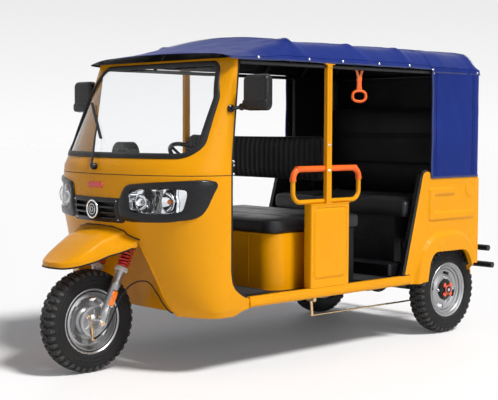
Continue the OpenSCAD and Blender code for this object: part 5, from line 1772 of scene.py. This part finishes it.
def make_straps():
    """Hanging hand straps: webbing in a V, a moulded sleeve and a ring."""
    x, y = -1470, 576
    webs, sleeves, rings = Shape(), Shape(), Shape()
    for side in (-1, 1):
        a, b = Vector((x + side * 32, y, 1617)), Vector((x + side * 7, y, 1560))
        path = [a + (b - a) * (k / 10) for k in range(11)]
        for run in (path, [b, b + Vector((0, 0, -14))]):
            webs.sweep(run, [(-9, -1.8), (9, -1.8), (9, 1.8), (-9, 1.8)], side=(0, 1, 0))
    edge = [(12, 1492), (16, 1498), (13, 1510), (13, 1540), (15, 1556), (14, 1563)]
    profile = [(-u, z) for u, z in edge[1:]] + [(u, z) for u, z in edge[::-1]] + [(-12, 1492)]
    outline = rounded_outline([(x + u, z) for u, z in profile[::-1]], 4)
    sleeves.plate(outline, lambda u, v, d: (u, d, v), y - 6, y + 6, 3)
    for z in (1515, 1525, 1535):
        sleeves.tube([(x - 13, y + 6, z), (x + 13, y + 6, z)], 1.6, 8)
    ring = [(x + 39 * math.copysign(abs(math.cos(a)) ** 0.8, math.cos(a)),
             1455 + 30 * math.copysign(abs(math.sin(a)) ** 0.85, math.sin(a))) for a in turns(56)]
    rings.tube([(u, y, v) for u, v in ring], 7.8, 16, closed=True)
    spin = Matrix.Rotation(math.radians(-32), 3, "Z")
    middle = Vector((x, y, 0))
    for shape in (sleeves, rings):
        shape.verts = [tuple(spin @ (Vector(v) - middle) + middle) for v in shape.verts]
    piece("grab_strap_webbing", webs, "orange_webbing", replaces=["grab_straps"], both=True)
    piece("grab_strap_sleeves", sleeves, "orange_plastic", both=True)
    piece("grab_strap_rings", rings, "orange_plastic", both=True)


# ---- seats ----

def superpath(x0, x1, y0, y1, r_front, r_back):
    """Outline of a cushion in X and Y, anticlockwise, with its own corner radii at front and back."""
    corners = [(x1 - r_front, y1 - r_front, r_front), (x0 + r_back, y1 - r_back, r_back),
               (x0 + r_back, y0 + r_back, r_back), (x1 - r_front, y0 + r_front, r_front)]
    return [p for k, (x, y, r) in enumerate(corners) for p in arc(x, y, r, 90 * k, 90 * k + 90, 10)]


def pad_shape(outline, low, high, crown, pull, place, count=160):
    """A crowned, closed pad: its top swells in the middle and its sides pull in between the corners."""
    base = even_outline(outline, count)
    cx = sum(p[0] for p in base) / count
    cy = sum(p[1] for p in base) / count
    wx = max(abs(p[0] - cx) for p in base)
    wy = max(abs(p[1] - cy) for p in base)
    drawn = []
    for u, v in base:
        fu, fv = abs(u - cx) / wx, abs(v - cy) / wy
        side_u = pull * (1 - fv ** 2) if fu > 0.9 else 0
        side_v = pull * (1 - fu ** 2) if fv > 0.9 else 0
        drawn.append((u - math.copysign(side_u, u - cx), v - math.copysign(side_v, v - cy)))
    rows = []
    height = high - crown - low
    rows.append([place(u, v, low) for u, v in inset(drawn, 6)])
    for t, out in ((0.06, 1), (0.2, -2), (0.4, -4), (0.6, -4), (0.8, -2), (0.94, 0.5)):
        rows.append([place(u, v, low + height * t) for u, v in inset(drawn, out + 2)])
    for shrink in (0.985, 0.96, 0.92, 0.86, 0.78, 0.66, 0.5, 0.34, 0.18, 0.06):
        lift = (1 - shrink ** 4) ** 0.6
        rows.append([place(cx + (u - cx) * shrink, cy + (v - cy) * shrink,
                           low + height * 0.97 + (crown + height * 0.03) * lift) for u, v in drawn])
    return Shape().grid(rows, around=True, caps=True)


def puff(obj, box, voxel=0.011, cap=0.007, pressure=4.0):
    """Fills a pad by a short cloth simulation; no point moves over cap or leaves the box."""
    modify(obj, "REMESH", mode="VOXEL", voxel_size=voxel)
    obj.data.polygons.foreach_set("use_smooth", [True] * len(obj.data.polygons))
    before = [v.co.copy() for v in obj.data.vertices]
    cloth = obj.modifiers.new("air", "CLOTH")
    cloth.settings.quality = 4
    cloth.settings.use_pressure = True
    cloth.settings.uniform_pressure_force = pressure
    cloth.settings.tension_stiffness = 18
    cloth.settings.compression_stiffness = 12
    cloth.settings.bending_stiffness = 1.2
    cloth.settings.effector_weights.gravity = 0
    cloth.collision_settings.use_collision = False
    scene = bpy.context.scene
    for step in range(1, 21):
        scene.frame_set(step)
    bake(obj)
    scene.frame_set(1)
    low, high = (at(corner) for corner in box)
    for vertex, start in zip(obj.data.vertices, before):
        move = vertex.co - start
        if move.length > cap:
            vertex.co = start + move.normalized() * cap
        vertex.co = Vector([max(low[k], min(high[k], vertex.co[k])) for k in range(3)])
    modify(obj, "SUBSURF", levels=1, render_levels=1)
    shade(obj, 180)


def channels(obj, seams, depth, width, push):
    """Sinks sewn lines into a pad; seams gives a point's distance to the nearest, or None away from them."""
    for vertex in obj.data.vertices:
        d = seams(*to_mm(vertex.co))
        if d is not None:
            vertex.co += Vector(push) * depth * math.exp(-((d / width) ** 2))


def piping(name, loop, obj, material, radius=3.4):
    """Welt cord laid on a pad's surface along a loop of points."""
    tree = BVHTree.FromObject(obj, bpy.context.evaluated_depsgraph_get())
    path = []
    for p in loop:
        near, normal, _, _ = tree.find_nearest(at(p))
        path.append(near + normal * WELT_LIFT)
    for _ in range(3):
        path = [(path[i - 1] + path[i] * 2 + path[(i + 1) % len(path)]) / 4 for i in range(len(path))]
    piece(name, Shape().tube([to_mm(p) for p in path], radius, 8, closed=True), material)


def sewn_pad(name, node, material, pad, box, voxel, cap, seams, groove):
    """A pad filled with air, with sewn lines sunk into it. groove is depth, width and direction."""
    obj = piece(name, pad, material, replaces=[node], crease=70)
    puff(obj, box, voxel, cap)
    channels(obj, seams, *groove)
    return obj


WELT_LIFT = 0.0006
DOWN, BACK = (0, 0, -1), (-1, 0, 0)


def make_seat_base():
    """The driver's seat box, its dark back part and its foot flange with ribs."""
    outline = superpath(-1348, -872, -488, 488, 100, 8)
    box = Shape().plate(outline, lay_flat, FLOOR_Z + 0.3, 699, 7, 4)
    piece("driver_seat_box", box, "yellow_paint", replaces=["driver_seat_base"])
    rear = Shape().plate(superpath(-1540, -1349, -488, 488, 4, 12), lay_flat, FLOOR_Z + 0.3, 699, 4, 3)
    piece("driver_seat_box_back", rear, "dark_vinyl")
    ring = inset(outline, -1.5)
    flange = Shape().grid([[(u, v, z) for u, v in ring] for z in (FLOOR_Z + 0.4, FLOOR_Z + 3)], around=True,
                          caps=True)
    for y in (-300, 0, 300):
        flange.tube([(-870.5, y, 420), (-870.5, y, 680)], 1.6, 6)
    piece("driver_seat_box_foot", flange, "yellow_paint")


def make_driver_seat():
    """The driver's cushion with two sewn lines, and the pleated backrest."""

    def cushion_seams(x, y, z):
        if z < 770:
            return None
        return min(abs(x + 1035), abs(x + 1300)) if abs(y) < 420 else 1e3

    outline = superpath(-1583, -852, -508, 508, 88, 22)
    cushion = sewn_pad("driver_cushion", "driver_seat_cushion", "seat_vinyl",
                       pad_shape(inset(outline, 5), 703, 783, 9, 6, lay_flat),
                       ((-1592, -514, 700.4), (-845, 514, 789)), 0.011, 0.007, cushion_seams,
                       (0.006, 9, DOWN))
    loop = [(u, v, 771) for u, v in even_outline(inset(outline, 4), 180)]
    piping("driver_cushion_welt", loop, cushion, "seat_vinyl", 3.2)

    def pleats(x, y, z):
        if x < -1185 or abs(y) > 520:
            return None
        from_end = min(z - 978, 1232 - z)
        return abs((y + 1000) % 40 - 20) + max(0, 16 - from_end)

    outline = rounded_rect(-566, 977, 566, 1233, 34, 10)
    back = sewn_pad("driver_back_pad", "driver_backrest", "dark_vinyl",
                    pad_shape(outline, -1211, -1158, 9, 4, lay_upright),
                    ((-1216, -572, 972), (-1152, 572, 1240)), 0.011, 0.006, pleats, (0.0028, 7, BACK))
    loop = [(-1163, u, v) for u, v in even_outline(inset(outline, 5), 200)]
    piping("driver_back_welt", loop, back, "dark_vinyl")


def make_bench():
    """The passengers' bench and its backrest, each with sewn lines."""

    def bench_seams(x, y, z):
        if z < 825:
            return None
        return min(abs(abs(y) - 190), abs(x + 2080) if abs(y) < 540 else 1e3)

    outline = superpath(-2535, -1904, -566, 566, 26, 16)
    bench = sewn_pad("bench_pad", "bench_cushion", "seat_vinyl",
                     pad_shape(inset(outline, 4), 741, 847, 12, 7, lay_flat),
                     ((-2540, -572, 738.6), (-1894, 572, 854)), 0.013, 0.008, bench_seams,
                     (0.006, 9, DOWN))
    loop = [(u, v, 833) for u, v in even_outline(inset(outline, 4), 200)]
    piping("bench_pad_welt", loop, bench, "seat_vinyl")

    def rest_seams(x, y, z):
        if x < -2470 or abs(y) > 540:
            return None
        return min(abs(z - 1035), abs(z - 1225))

    outline = rounded_rect(-566, 856, 566, 1411, 40, 10)
    rest = sewn_pad("bench_back_pad", "bench_backrest", "dark_vinyl",
                    pad_shape(outline, -2553, -2441, 14, 5, lay_upright),
                    ((-2554.5, -572, 853.5), (-2434, 572, 1418)), 0.013, 0.008, rest_seams,
                    (0.007, 10, BACK))
    loop = [(-2449, u, v) for u, v in even_outline(inset(outline, 6), 220)]
    piping("bench_back_welt", loop, rest, "dark_vinyl")


# ---- mirrors, wiper and dash ----

def make_mirrors():
    """Black housings with a ribbed lower band, their glasses, and bent arms between two knobs."""
    housings, bands, glasses, arms, knobs = (Shape() for _ in range(5))
    cx, cy = -514, 738
    housings.plate(rounded_rect(cy - 87, 1361, cy + 87, 1542, 34, 8), lay_upright, cx - 22, cx + 22, 20, 6)
    bands.plate(rounded_rect(cy - 89, 1364, cy + 89, 1420, 22, 6), lay_upright, cx - 6, cx + 24.5, 10, 4)
    for k in range(4):
        z = 1376 + 11 * k
        bands.tube([(cx + 24.5, cy - 66, z), (cx + 24.5, cy + 66, z)], 2.4, 8)
    glasses.plate(rounded_rect(cy - 78, 1370, cy + 78, 1533, 28, 8), lay_upright, cx - 20, cx - 24, 1, 2)
    bend = [(-462, 600, 1371), (-480, 612, 1373), (-505, 626, 1380), (-516, 650, 1396), (-517, 668, 1408)]
    arms.tube(smooth_path(bend, 6), 9, 14)
    at_housing = [(0.1, -13), (15, -13), (18, -9), (18, 9), (15, 13), (0.1, 13)]
    at_pillar = [(0.1, -3), (20, -3), (20, 5), (14, 10), (0.1, 10)]
    knobs.spin(at_housing, 28, lambda p: Vector((p[0] - 514, 626 + p[2] * 0.4, 1380 + p[1])), closed=False)
    knobs.spin(at_pillar, 28, lambda p: Vector((p[0] - 462, 601 + p[2], 1371 + p[1])), closed=False)
    piece("mirror_housings", housings, "black_plastic", replaces=["mirrors"], both=True)
    piece("mirror_lower_bands", bands, "black_plastic", both=True)
    piece("mirror_faces", glasses, "mirror", replaces=["mirror_glasses"], both=True)
    piece("mirror_arms", arms, "black_plastic", both=True)
    piece("mirror_knobs", knobs, "black_plastic", both=True)


def make_wiper():
    """The wiper's arm from its capped pivot, and its blade across the glass."""
    arm, blade, cap = Shape(), Shape(), Shape()
    pivot, knee, tip = Vector((-52, -10, 1072)), Vector((-152, -135, 1215)), Vector((-238, -230, 1300))
    bend = [pivot + Vector((14, 0, 6)), mix(pivot, knee, 0.3) + Vector((8, 0, 3)), knee, tip]
    arm.tube(smooth_path(bend, 6), [6.5] * 6 + [6.0] * 6 + [5.0] * 7, 12)
    cap.spin([(0.1, -16), (17, -16), (17, 8), (14, 14), (0.1, 16)], 24,
             lambda p: pivot + Vector((p[2] * 0.9, p[0], p[1])), closed=False)
    start, end = Vector((-164, -98, 1216)), Vector((-345, -428, 1410))
    bent = []
    for k in range(13):
        p = mix(start, end, k / 12)
        x = on_skin(p.y, p.z, 7)[0]
        bent.append(Vector((max(p.x, x) if abs(p.x - x) < 60 else p.x, p.y, p.z)))
    blade.sweep(bent, [(-4, -7), (4, -7), (2, 2), (1.4, 9), (-1.4, 9), (-2, 2)], side=(1, 0, 0))
    blade.tube(bent, 4.2, 8)
    piece("wiper_arm", arm, "black_steel", replaces=["wiper"])
    piece("wiper_blade", blade, "rubber")
    piece("wiper_cap", cap, "black_plastic")


# ---- all together ----

make_materials()
finish_frame()
bpy.context.scene.view_settings.view_transform = "Standard"
make_camera()
make_floor_stage()
make_sky()
make_lamps()
for make in (make_cab, make_windscreen, make_headlamps, make_grille, make_mudguard, make_front_wheel,
             make_fork, make_front_brake, make_brake_cable, make_rear_wheels, make_quarters, make_trims,
             make_side_boxes, make_sills, make_floor, make_canopy, make_curtain, make_posts, make_handrails,
             make_straps, make_seat_base, make_driver_seat, make_bench, make_mirrors, make_wiper):
    make()
